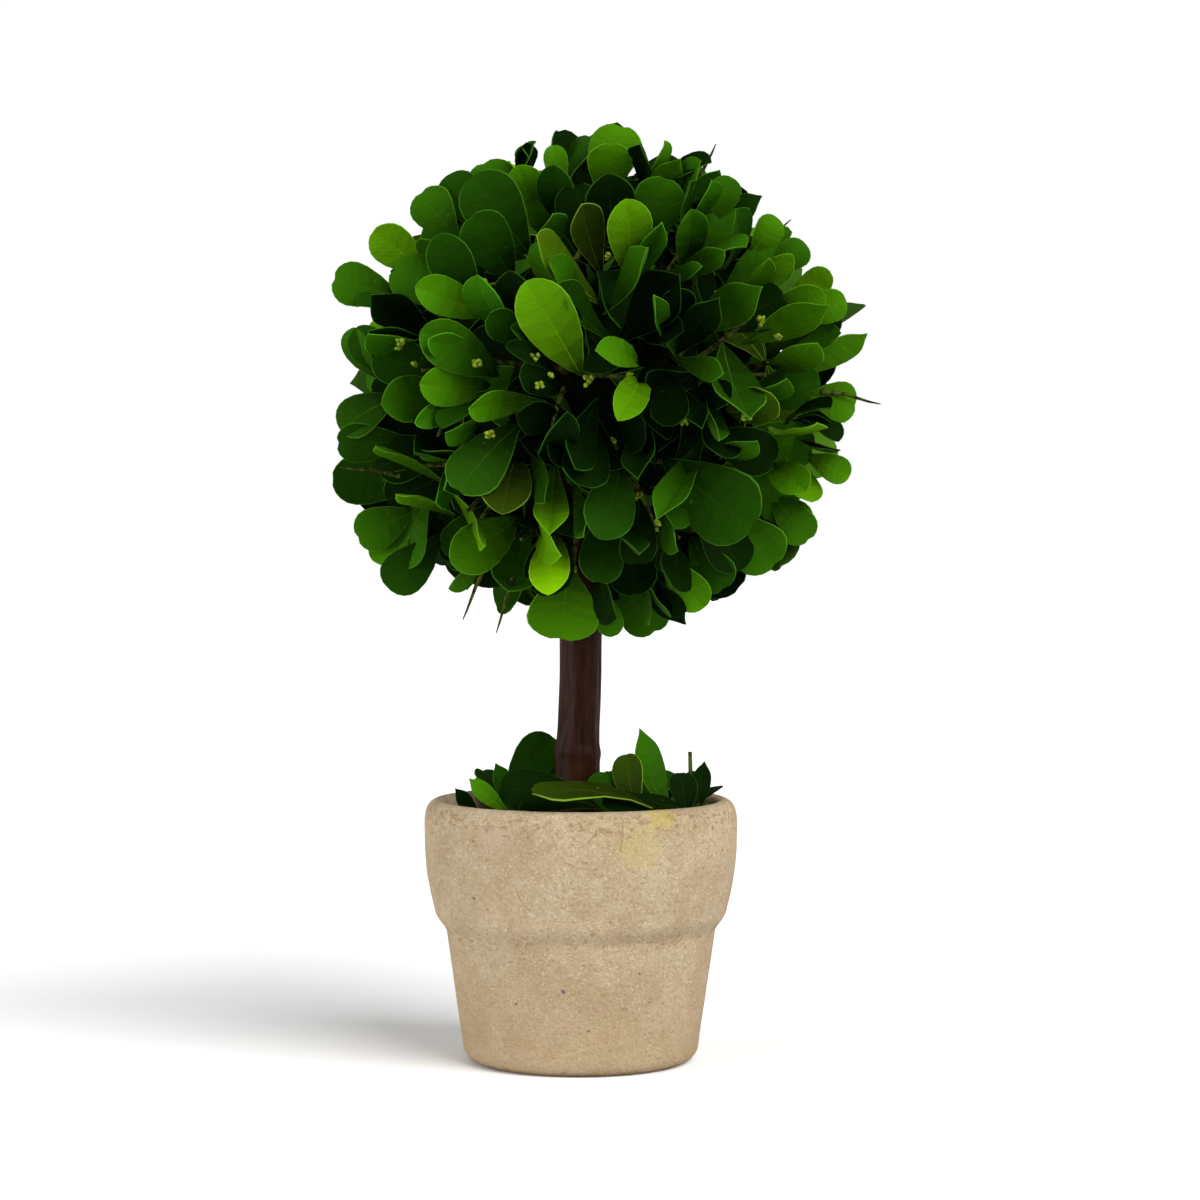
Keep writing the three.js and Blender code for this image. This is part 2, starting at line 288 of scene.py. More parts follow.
# Marks on the wall's front: how far right and how high, how wide, what colour and how strong.
CLAY_MARKS = [
    (-25, 42.5, 0.9, "#4A4440", 0.9),
    (-4, 21, 1.2, "#55505A", 0.9),
    (-15, 17.5, 0.8, "#54473A", 0.9),
    (2, 11.5, 0.7, "#4E4A4C", 0.9),
    (14, 25, 0.7, "#4E4238", 0.9),
    (3, 35, 1.6, "#8A6A48", 0.6),
    (-5, 26, 2.2, "#8E7254", 0.5),
    (25, 30, 1.3, "#82664A", 0.6),
    (-12, 8, 3.5, "#94785A", 0.4),
    (19, 62.5, 8.0, "#A39238", 0.5),
    (14, 55, 12.0, "#AFA060", 0.28),
    (-20, 57, 9.0, "#A8907C", 0.4),
]
# Hairline cracks: right and height of each end, how far it bows, and how strong.
CLAY_CRACKS = [(4, 60, -1, 55, 1.2, 0.6), (10, 62.5, 9.5, 54, 0.2, 0.45), (-15, 46, -11, 40, -0.8, 0.4)]


def aged_clay():
    """Unglazed buff clay with sandy temper. Grains of sand, small pits, iron specks, drying cracks, the
    blushes of an uneven firing and a yellow water stain under the rim break up its dry, dusty face."""
    material, tree, shader = new_material("aged_clay", "#AA9A81", 0.95, 0.15)
    place = add(tree, "ShaderNodeTexCoord").outputs["Object"]
    x, y, z = add(tree, "ShaderNodeSeparateXYZ", {"Vector": place}).outputs
    mottles = []
    for width, detail, rough, seed in CLAY_MOTTLES:
        feeds = {"Vector": place, "W": seed, "Scale": 1 / (width * MM), "Detail": detail, "Roughness": rough}
        mottles.append(add(tree, "ShaderNodeTexNoise", feeds, noise_dimensions="4D"))
    grain, sand, flecks, clouds, blushes, stains, iron = mottles
    lying = add(tree, "ShaderNodeMapping", {"Vector": place, "Scale": (1.0, 1.0, 1.9)})
    feed(tree, flecks, {"Vector": lying})
    ragged = add(tree, "ShaderNodeMath", {0: flecks, 1: 0.5}, operation="SUBTRACT")
    colour = lay_over(tree, "#96846A", "#A4967D", clouds, 0.36, 0.64)
    colour = lay_over(tree, colour, "#AC9A80", blushes, 0.5, 0.66, 0.0, 0.55)
    colour = lay_over(tree, colour, "#A59270", stains, 0.52, 0.68, 0.0, 0.45)
    colour = lay_over(tree, colour, "#877254", grain, 0.3, 0.64, 0.72, 0.0)
    colour = lay_over(tree, colour, "#CABBA0", sand, 0.55, 0.72, 0.0, 0.45)
    # Darker and browner towards the bottom of the wall, up to the collar's step.
    colour = lay_over(tree, colour, "#8A7455", z, 2 * MM, 36 * MM, 0.42, 0.0)
    rubbed = 0.0
    for heights, strong in RUBBED_BANDS:
        part = add(tree, "ShaderNodeMath", {0: band(tree, z, heights), 1: strong}, operation="MULTIPLY")
        rubbed = add(tree, "ShaderNodeMath", {0: rubbed, 1: part}, operation="MAXIMUM")
    worn = add(tree, "ShaderNodeMath", {0: flecks, 1: rubbed})
    colour = lay_over(tree, colour, "#7C6142", worn, 0.6, 0.69, 0.0, 0.65)
    # Painted shade in the crease under the collar.
    painted_crease_shade = add(tree, "ShaderNodeMath", {0: band(tree, z, CREASE), 1: 0.08}, operation="MULTIPLY")
    feeds = {"Factor_Float": painted_crease_shade, "A_Color": colour, "B_Color": "#7A664C"}
    colour = add(tree, "ShaderNodeMix", feeds, data_type="RGBA")
    # A darker brown line along the foot.
    colour = lay_over(tree, colour, "#6E5236", z, 0.3 * MM, 1.6 * MM, 0.55, 0.0)
    for right, height, width, code, strong in CLAY_MARKS:
        wall = -math.sqrt(wall_radius(height * MM) ** 2 - (right * MM) ** 2)
        feeds = {0: place, 1: (right * MM, wall, height * MM)}
        away = add(tree, "ShaderNodeVectorMath", feeds, operation="DISTANCE")
        away = add(tree, "ShaderNodeMath", {0: ragged, 1: width * MM, 2: away}, operation="MULTIPLY_ADD")
        colour = lay_over(tree, colour, code, away, width * 0.25 * MM, width * 0.6 * MM, strong, 0.0)
    for x0, z0, x1, z1, bow, strong in CLAY_CRACKS:
        share = add(tree, "ShaderNodeMapRange", {"Value": z, "From Min": z0 * MM, "From Max": z1 * MM})
        rest = add(tree, "ShaderNodeMath", {0: 1.0, 1: share}, operation="SUBTRACT")
        arc = add(tree, "ShaderNodeMath", {0: share, 1: rest}, operation="MULTIPLY")
        line = x0 * MM
        for term, size in ((share, (x1 - x0) * MM), (arc, 4 * bow * MM), (ragged, CRACK_WANDER)):
            line = add(tree, "ShaderNodeMath", {0: term, 1: size, 2: line}, operation="MULTIPLY_ADD")
        aside = add(tree, "ShaderNodeMath", {0: x, 1: line}, operation="SUBTRACT")
        aside = add(tree, "ShaderNodeMath", {0: aside}, operation="ABSOLUTE")
        in_front = add(tree, "ShaderNodeMath", {0: y, 1: 0.0}, operation="LESS_THAN")
        ends = band(tree, share, (0.0, 0.1, 0.9, 1.0))
        mask = add(tree, "ShaderNodeMath", {0: ends, 1: in_front}, operation="MULTIPLY")
        colour = lay_over(tree, colour, "#6E5538", aside, 0.05 * MM, 0.3 * MM, strong, 0.0, mask)
    specks = add(tree, "ShaderNodeTexVoronoi", {"Vector": place, "Scale": 1 / IRON_SPACING}, feature="F1")
    feeds = {"Value": iron, "From Min": 0.5, "From Max": 0.56}
    chosen = add(tree, "ShaderNodeMapRange", feeds, interpolation_type="SMOOTHSTEP")
    colour = lay_over(tree, colour, "#54422F", specks, 0.03, 0.07, 1.0, 0.0, chosen)
    pits = add(tree, "ShaderNodeTexVoronoi", {"Vector": place, "Scale": 1 / PIT_SPACING}, feature="F1")
    feeds = {"Value": pits, "From Min": 0.08, "From Max": 0.3, "To Min": -0.6, "To Max": 0.0}
    height = add(tree, "ShaderNodeMapRange", feeds, interpolation_type="SMOOTHSTEP")
    for lumps in (grain, sand, flecks):
        height = add(tree, "ShaderNodeMath", {0: height, 1: lumps})
    bump = add(tree, "ShaderNodeBump", {"Strength": 0.9, "Distance": 0.3 * MM, "Height": height})
    feed(tree, shader, {"Base Color": colour, "Normal": bump})
    return material


hand_relief = relief_tree()
pot = turned("clay_pot", pot_outline(), POT_SIDES)
dents = {"Dent Width": 17 * MM, "Dent Depth": 0.5 * MM, "Rough Width": 2.6 * MM, "Rough Depth": 0.12 * MM}
settle(pot, hand_relief, dents | {"Seed": 3.0})
pot.data.materials.append(aged_clay())
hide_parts("pot")
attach(pot, "root")

# ---- The plug --------------------------------------------------------------------------------------------
# Plaster cast round the stick fills the pot to just under its rim. A thin layer of brown moss was glued over
# it, and shows between the loose leaves.

PLUG_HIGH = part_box("pot_plug")[1]
PLUG_SHOWN = 9 * MM  # how deep it is made, since the pot hides the rest


def plug_outline():
    """Radius and height of what shows of the plug, from its middle out and back over its top."""
    edge = PLUG_HIGH.x
    low, high = PLUG_HIGH.z - PLUG_SHOWN, PLUG_HIGH.z
    corner = [(edge - 2.2 * MM, low), (edge - 1.6 * MM, high - 2 * MM), (edge - 3 * MM, high)]
    return (
        [(0, low)]
        + bezier([(0, low), corner[0]], 3)
        + bezier(corner, 6)
        + bezier([corner[-1], (0, high)], 40)
    )


def weather(tree, shader, texture, low, high, dark, light, strength, depth):
    """Lets a texture colour a shader, from dark where it reads low to light where it reads high, and raise
    its surface by up to a depth. Gives back the colour."""
    colour = lay_over(tree, dark, light, texture, low, high)
    bump = add(tree, "ShaderNodeBump", {"Strength": strength, "Distance": depth, "Height": texture})
    feed(tree, shader, {"Base Color": colour, "Normal": bump})
    return colour


def brown_moss():
    """Dried sheet moss: short curled fibres, dull, from dark umber to a greenish brown."""
    material, tree, shader = new_material("brown_moss", "#3C3420", 1.0, 0.1)
    place = add(tree, "ShaderNodeTexCoord").outputs["Object"]
    feeds = {"Vector": place, "Scale": 1 / (2.5 * MM), "Detail": 5.0, "Distortion": 1.2}
    tufts = add(tree, "ShaderNodeTexNoise", feeds)
    weather(tree, shader, tufts, 0.35, 0.65, "#1E180F", "#57492C", 0.9, 0.8 * MM)
    return material


plug = turned("moss_plug", plug_outline(), 120)
dents = {"Dent Width": 6 * MM, "Dent Depth": 3 * MM, "Rough Width": 1.6 * MM, "Rough Depth": 1.2 * MM}
settle(plug, hand_relief, dents | {"Seed": 5.0})
plug.data.materials.append(brown_moss())
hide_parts("pot_plug")
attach(plug, "root")

# ---- The stick -------------------------------------------------------------------------------------------
# A length of hardwood shoot with its bark on, cut flat at both ends and stained a dark red brown. A leaf
# joint low down swells into a ring.

STICK_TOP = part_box("trunk")[1].z
STICK_RADIUS = 5.1 * MM
JOINT_HEIGHT = 75 * MM
STICK_SIDES = 96
STICK_SHOWN_FROM = PLUG_HIGH.z - 6 * MM
STICK_STEP = 0.7 * MM


def smooth(value, low, high):
    """0 below low and 1 above high, with a smooth rise between them."""
    t = min(1, max(0, (value - low) / (high - low)))
    return t * t * (3 - 2 * t)


def stick_place(height, angle):
    """The bark's surface at a height and an angle round the stick. It is thicker below the joint, with a
    ring at the joint, three long ribs, seven fine ones and a furrowed skin, and it bends above the joint."""
    below = 1 - smooth(height, JOINT_HEIGHT - 4 * MM, JOINT_HEIGHT + 8 * MM)
    ring = math.exp(-(((height - JOINT_HEIGHT + 0.5 * MM * math.cos(angle)) / (1.4 * MM)) ** 2))
    radius = STICK_RADIUS + (0.35 * below + 0.35 * ring) * MM
    radius += 0.12 * MM * math.cos(3 * angle + 40 * height) + 0.10 * MM * math.cos(7 * angle)
    furrow = noise.noise(Vector((9 * math.cos(angle), 9 * math.sin(angle), 60 * height)))
    radius += 0.14 * MM * furrow
    lean = 1 - smooth(height, JOINT_HEIGHT - 5 * MM, JOINT_HEIGHT + 22 * MM)
    return Vector((radius * math.cos(angle) - 0.75 * MM * lean, radius * math.sin(angle), height))


def stained_bark():
    """Smooth young bark under a dark stain. The fine furrows run along it, and its high places are rubbed
    to a dull shine, which stands as one soft streak up the stick."""
    material, tree, shader = new_material("stained_bark", "#240F08", 0.5, 0.05)
    place = add(tree, "ShaderNodeTexCoord").outputs["Object"]
    along = add(tree, "ShaderNodeMapping", {"Vector": place, "Scale": (1.0, 1.0, 0.12)})
    feeds = {"Vector": along, "Scale": 1 / (0.9 * MM), "Detail": 4.0, "Roughness": 0.65}
    furrows = add(tree, "ShaderNodeTexNoise", feeds)
    broad = add(tree, "ShaderNodeTexNoise", {"Vector": along, "Scale": 1 / (4 * MM), "Detail": 2.0})
    colour = weather(tree, shader, furrows, 0.32, 0.7, "#180904", "#2B140B", 0.6, 0.25 * MM)
    colour = lay_over(tree, colour, "#331B10", broad, 0.5, 0.72, 0.0, 0.6)
    feeds = {"Value": furrows, "From Min": 0.3, "From Max": 0.7, "To Min": 0.55, "To Max": 0.36}
    rubbed = add(tree, "ShaderNodeMapRange", feeds, interpolation_type="SMOOTHSTEP")
    feed(tree, shader, {"Base Color": colour, "Roughness": rubbed})
    return material


rings = []
for i in range(int((STICK_TOP - STICK_SHOWN_FROM) / STICK_STEP)):
    height = STICK_SHOWN_FROM + i * STICK_STEP
    rings.append([stick_place(height, 2 * math.pi * k / STICK_SIDES) for k in range(STICK_SIDES)])
stick = ringed("bark_stick", Vector((0, 0, STICK_SHOWN_FROM)), rings, Vector((0, 0, height)))
stick.data.materials.append(stained_bark())
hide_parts("trunk")
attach(stick, "root")

# ---- The foam ball ---------------------------------------------------------------------------------------
# A ball of dry floral foam holds the sprigs. Its near-black green is painted shade, for what little of it
# shows deep between the leaves.

CORE_LOW, CORE_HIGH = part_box("ball_core")
BALL_CENTRE = (CORE_LOW + CORE_HIGH) / 2
FOAM_RADIUS = (CORE_HIGH.x - CORE_LOW.x) / 2


def floral_foam():
    """Open-celled foam, matt and pitted all over, in a near-black green that is painted shade."""
    material, tree, shader = new_material("floral_foam", "#0A0F06", 1.0, 0.0)
    place = add(tree, "ShaderNodeTexCoord").outputs["Object"]
    cells = add(tree, "ShaderNodeTexVoronoi", {"Vector": place, "Scale": 1 / (1.2 * MM)})
    weather(tree, shader, cells, 0.1, 0.6, "#020401", "#070C04", 0.8, 0.5 * MM)
    return material


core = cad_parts["ball_core"]
core.data.materials.clear()
core.data.materials.append(floral_foam())

# ---- The boxwood leaves ----------------------------------------------------------------------------------
# Preserved boxwood: each leaf is small and leathery, narrow at its stalk and broad and round towards its
# tip, with a folded midrib, a thin pale edge and a paler back. Dye and glycerine keep it green and supple.

LEAF_LENGTH = 26 * MM
LEAF_WIDTH = 15 * MM
LEAF_THICKNESS = 0.35 * MM
EDGE_WIDTH = 0.28 * MM
RIB_WIDTH = 0.4 * MM
FACE, BACK, EDGE, RIB, STALK_END = range(5)  # the parts of a leaf that take their own colour
# How much of its light the face's colour has, in steps from the stalk: painted shade, for the base of the
# leaf that lies deep among its neighbours.
STALK_PAINTED_SHADE = (0.3, 0.42, 0.56, 0.69, 0.8, 0.89, 0.95)
VEIN_RISE = 2.6 * MM  # how far the steps run up towards the tip at the leaf's edge, as its side veins do

# Each shape: fold up from the midrib and bend along the leaf in degrees, how far the edges roll back, how
# far towards the tip it is widest, and how deep its tip is notched, or how far it is drawn out.
LEAF_SHAPES = [
    (22, -52, 0.14, 0.62, 0.00),
    (18, 36, 0.08, 0.60, 0.03),
    (26, -74, 0.16, 0.58, 0.00),
    (28, 50, 0.06, 0.64, 0.00),
    (19, -44, 0.20, 0.64, 0.035),
    (22, 28, 0.10, 0.54, -0.07),
]
LEAF_STATIONS = 9


def half_width(t, widest):
    """The share of its full half width that a leaf has at t, from 0 at its stalk to 1 at its tip."""
    if t < widest:
        return math.sin(math.pi / 2 * t / widest) ** 1.2
    return max(0, 1 - ((t - widest) / (1 - widest)) ** 2) ** 0.5


def leaf_pattern(name, fold, bend, roll, widest, notch):
    """One thin closed leaf along +Y with its upper face towards +Z. Its faces are numbered by part."""
    half = LEAF_WIDTH / 2
    fold, bend = math.radians(fold), math.radians(bend)
    points, faces, parts = [], [], []
    for k in range(LEAF_STATIONS + 1):
        t = math.sin(math.pi / 2 * k / LEAF_STATIONS)
        wide = max(half_width(t, widest) * half, (0.4 if k == 0 else 0.25) * MM)
        edge = min(EDGE_WIDTH, wide * 0.5)
        rib = min(RIB_WIDTH / 2 * (1.1 - 0.9 * t), wide * 0.3)
        a = bend * t
        along = Vector((0, LEAF_LENGTH * math.sin(a) / bend, LEAF_LENGTH * (1 - math.cos(a)) / bend))
        up = Vector((0, -math.sin(a), math.cos(a)))
        ahead = Vector((0, math.cos(a), math.sin(a)))
        dip = notch * LEAF_LENGTH * smooth(t, 0.8, 1.0)

        def place(x, sink):
            share = abs(x) / half
            lift = abs(x) * math.tan(fold) - roll * half * share**3 * 2
            back = -dip * (1 - min(1, 3 * share)) if notch else 0
            rise = share * VEIN_RISE * math.sin(math.pi * t)
            return along + Vector((x, 0, 0)) + up * (lift - sink) + ahead * (back + rise)

        inner = wide - edge
        points += [
            place(-wide, LEAF_THICKNESS * 0.6),
            place(-inner, 0),
            place(-rib, 0),
            place(rib, 0),
            place(inner, 0),
            place(wide, LEAF_THICKNESS * 0.6),
            place(0, LEAF_THICKNESS * 1.6),
        ]
    across = 7
    part_of = [EDGE, FACE, RIB, FACE, EDGE, BACK, BACK]
    for k in range(LEAF_STATIONS):
        for i in range(across):
            j = (i + 1) % across
            low, high = k * across, (k + 1) * across
            faces.append((low + i, low + j, high + j, high + i))
            # Face quads near the stalk take the steps of painted shade.
            shaded = part_of[i] == FACE and k < len(STALK_PAINTED_SHADE)
            parts.append(STALK_END + k if shaded else part_of[i])
    faces.append(tuple(reversed(range(across))))
    faces.append(tuple(LEAF_STATIONS * across + i for i in range(across)))
    parts += [EDGE, EDGE]
    mesh = bpy.data.meshes.new(name)
    mesh.from_pydata(points, [], faces)
    mesh.shade_smooth()
    mesh.attributes.new("part", "INT", "FACE").data.foreach_set("value", parts)
    flat = mesh.uv_layers.new(name="leaf_flat")
    for loop in mesh.loops:
        t = math.sin(math.pi / 2 * (loop.vertex_index // across) / LEAF_STATIONS)
        flat.uv[loop.index].vector = (points[loop.vertex_index].x / LEAF_WIDTH + 0.5, t)
    crisp = mesh.attributes.new("sharp_edge", "BOOLEAN", "EDGE")
    for e in mesh.edges:
        a, b = e.vertices
        crisp.data[e.index].value = a % across == b % across and a % across in (0, 1, 4, 5)
    return bpy.data.objects.new(name, mesh)


# Face, back, edge and rib colours and the gloss of the sprigs, from the deepest green, near black and
# standing mostly as painted shade, to the brightest, then a bluer green one, an olive one, one that the
# glycerine has left waxy, and a dull brownish one.
TINTS = [
    ("#040F01", "#122406", "#142C08", "#061402", 0.008),
    ("#091C02", "#1A340A", "#22480B", "#102803", 0.008),
    ("#183A03", "#26440E", "#2E580D", "#1A3B04", 0.008),
    ("#285403", "#305210", "#3C6810", "#284D04", 0.012),
    ("#3A6C03", "#3E6412", "#4A7A12", "#386206", 0.012),
    ("#4A7A03", "#4A7414", "#588812", "#4C7A06", 0.012),
    ("#70A804", "#649218", "#78A81C", "#7CAA10", 0.012),
    ("#2A5C03", "#36640E", "#468212", "#326804", 0.018),
    ("#3A5805", "#4A6214", "#5A7818", "#466608", 0.012),
    ("#1E4203", "#2C5010", "#3E6C14", "#284F05", 0.018),
    ("#253603", "#384A0E", "#5C7A18", "#344A04", 0.018),
]
DEEP, DARK, DEEP_MID, MID, MID_BRIGHT, BRIGHT, YELLOW, VIVID, OLIVE, WAXY, DULL = range(len(TINTS))
VEIN_SPACING = 2.3 * MM
VEIN_HEIGHT = 0.3  # of the pores' height
WAVE_WIDTH = 6 * MM
WAVE_HEIGHT = 9.0  # of the pores' height


def leaf_material(name, code, roughness, gloss):
    """Leaf skin: one plain green, since each sprig took the dye in its own way, under a dull waxy shine that
    pores break up. Side veins rise from the midrib towards the tip; they stand closer in a real leaf than
    can show at this size. The skin also waves a little where it dried."""
    material, tree, shader = new_material(name, code, roughness, gloss)
    place = add(tree, "ShaderNodeTexCoord").outputs["Object"]
    flat = add(tree, "ShaderNodeUVMap", uv_map="leaf_flat")
    aside, along, _ = add(tree, "ShaderNodeSeparateXYZ", {"Vector": flat}).outputs
    for operation, amount in (("SUBTRACT", 0.5), ("ABSOLUTE", 0.0), ("MULTIPLY", LEAF_WIDTH / VEIN_SPACING)):
        aside = add(tree, "ShaderNodeMath", {0: aside, 1: amount}, operation=operation)
    veins = add(tree, "ShaderNodeMath", {0: along, 1: LEAF_LENGTH / VEIN_SPACING}, operation="MULTIPLY")
    for operation, amount in (("SUBTRACT", aside), ("MULTIPLY", 2 * math.pi), ("SINE", 0.0)):
        veins = add(tree, "ShaderNodeMath", {0: veins, 1: amount}, operation=operation)
    feeds = {"Value": veins, "From Min": 0.3, "From Max": 1.0, "To Max": VEIN_HEIGHT}
    veins = add(tree, "ShaderNodeMapRange", feeds, interpolation_type="SMOOTHSTEP")
    pores = add(tree, "ShaderNodeTexNoise", {"Vector": place, "Scale": 1 / (0.9 * MM), "Detail": 2.0})
    waves = add(tree, "ShaderNodeTexNoise", {"Vector": place, "Scale": 1 / WAVE_WIDTH, "Detail": 1.0})
    feeds = {"Value": pores, "From Min": 0.3, "From Max": 0.7}
    feeds |= {"To Min": roughness - 0.08, "To Max": roughness + 0.1}
    dull = add(tree, "ShaderNodeMapRange", feeds, interpolation_type="SMOOTHSTEP")
    height = add(tree, "ShaderNodeMath", {0: waves, 1: WAVE_HEIGHT, 2: pores}, operation="MULTIPLY_ADD")
    height = add(tree, "ShaderNodeMath", {0: height, 1: veins})
    bump = add(tree, "ShaderNodeBump", {"Strength": 0.6, "Distance": 0.14 * MM, "Height": height})
    feed(tree, shader, {"Roughness": dull, "Normal": bump})
    return material


def deeper(code, share):
    """A hex colour with this share of its light."""
    parts = [int(code[i : i + 2], 16) * share ** (1 / 2.2) for i in (1, 3, 5)]
    return "#" + "".join(f"{round(part):02X}" for part in parts)


def tint_materials(prefix, tints):
    """The materials of every tint's parts, in the order of the numbers that the leaves carry."""
    found = []
    for i, (face, back, edge, rib, gloss) in enumerate(tints, 1):
        found.append(leaf_material(f"{prefix}_face_{i}", face, 0.5, gloss))
        found.append(leaf_material(f"{prefix}_back_{i}", back, 0.75, 0.02))
        found.append(leaf_material(f"{prefix}_edge_{i}", edge, 0.6, 0.03))
        found.append(leaf_material(f"{prefix}_rib_{i}", rib, 0.5, gloss))
        # Darker copies of the face colour towards the stalk: painted shade.
        for k, share in enumerate(STALK_PAINTED_SHADE):
            found.append(leaf_material(f"{prefix}_stalk_{i}_{k}", deeper(face, share), 0.5, gloss))
    return found


def dealing_tree(name, materials, parts):
    """Puts a pattern on every point, turned and sized by the point's own values, makes them one mesh, and
    gives each face the material of its pattern's part and its point's tint."""
    inputs = [("Patterns", "Collection", None), ("Least Size", "Float", 0.96), ("Most Size", "Float", 1.04)]
    tree, given, result = new_tree(name, inputs + [("Seed", "Int", 1)])
    feeds = {"Collection": given["Patterns"], "Separate Children": True, "Reset Children": True}
    patterns = add(tree, "GeometryNodeCollectionInfo", feeds)
    kinds = {"turn": "QUATERNION", "size": "FLOAT_VECTOR", "pattern": "INT", "tint": "INT", "part": "INT"}
    own = {}
    for label, kind in kinds.items():
        own[label] = add(tree, "GeometryNodeInputNamedAttribute", {"Name": label}, data_type=kind)
    feeds = {"Min_001": given["Least Size"], "Max_001": given["Most Size"], "Seed": given["Seed"]}
    vary = add(tree, "FunctionNodeRandomValue", feeds, data_type="FLOAT")
    size = add(tree, "ShaderNodeVectorMath", {"Vector": own["size"], "Scale": vary}, operation="SCALE")
    feeds = {"Points": given["Geometry"], "Instance": patterns, "Pick Instance": True}
    feeds |= {"Instance Index": own["pattern"], "Rotation": own["turn"], "Scale": size}
    dealt = add(tree, "GeometryNodeInstanceOnPoints", feeds)
    joined = add(tree, "GeometryNodeRealizeInstances", {"Geometry": dealt})
    feeds = {0: own["tint"], 1: parts, 2: own["part"]}
    number = add(tree, "FunctionNodeIntegerMath", feeds, operation="MULTIPLY_ADD")
    for i, material in enumerate(materials):
        feeds = {"A_INT": number, "B_INT": i}
        chosen = add(tree, "FunctionNodeCompare", feeds, data_type="INT", operation="EQUAL")
        feeds = {"Geometry": joined, "Selection": chosen, "Material": material}
        joined = add(tree, "GeometryNodeSetMaterial", feeds)
    feed(tree, result, {"Geometry": joined})
    return tree


def pattern_collection(name, patterns):
    """A collection of patterns that stays out of the scene. Their names sort in the order of their
    numbers."""
    made = bpy.data.collections.new(name)
    for pattern in patterns:
        made.objects.link(pattern)
    return made


def deal(name, spots, tree, patterns, seed=1):
    """One joined piece with a pattern at each spot, which is a place, a turn, a size, a pattern and a
    tint."""
    mesh = bpy.data.meshes.new(name)
    mesh.from_pydata([s[0] for s in spots], [], [])
    columns = [
        ("turn", "QUATERNION", "value"),
        ("size", "FLOAT_VECTOR", "vector"),
        ("pattern", "INT", "value"),
        ("tint", "INT", "value"),
    ]
    for i, (label, kind, field) in enumerate(columns, 1):
        values = [s[i] for s in spots]
        flat = values if kind == "INT" else [x for v in values for x in v]
        mesh.attributes.new(label, kind, "POINT").data.foreach_set(field, flat)
    piece = piece_from(name, mesh)
    settle(piece, tree, {"Patterns": patterns, "Seed": seed})
    for label in ("turn", "size", "pattern", "tint", "part"):
        if label in piece.data.attributes:
            piece.data.attributes.remove(piece.data.attributes[label])
    return piece


def leaf_spot(place, ahead, up, length, width, pattern, tint):
    """A leaf from its stalk's place, running ahead, with its upper face towards up."""
    ahead = ahead.normalized()
    up = (up - ahead * up.dot(ahead)).normalized()
    side = ahead.cross(up)
    turn = Matrix((side, ahead, up)).transposed().to_quaternion()
    grow, spread = length / LEAF_LENGTH, width / LEAF_WIDTH
    return tuple(place), tuple(turn), (spread, grow, (grow + spread) / 2), pattern, tint


def laid_leaf(start, tip, facing, width, roll, pattern, tint):
    """A leaf whose two ends are given, with its upper face towards facing and then rolled by some degrees."""
    bend = math.radians(LEAF_SHAPES[pattern][1])
    ahead = (tip - start).normalized()
    up = (facing - ahead * facing.dot(ahead)).normalized()
    up = Quaternion(ahead, math.radians(roll)) @ up
    first = ahead * math.cos(bend / 2) - up * math.sin(bend / 2)
    length = (tip - start).length * (bend / 2) / math.sin(bend / 2)
    return leaf_spot(start, first, up, length, width, pattern, tint)


leaf_patterns = pattern_collection(
    "leaf_patterns", [leaf_pattern(f"leaf_{i}", *shape) for i, shape in enumerate(LEAF_SHAPES)]
)
leaf_parts = STALK_END + len(STALK_PAINTED_SHADE)
leaf_dealing = dealing_tree("deal_leaves", tint_materials("preserved_leaf", TINTS), leaf_parts)
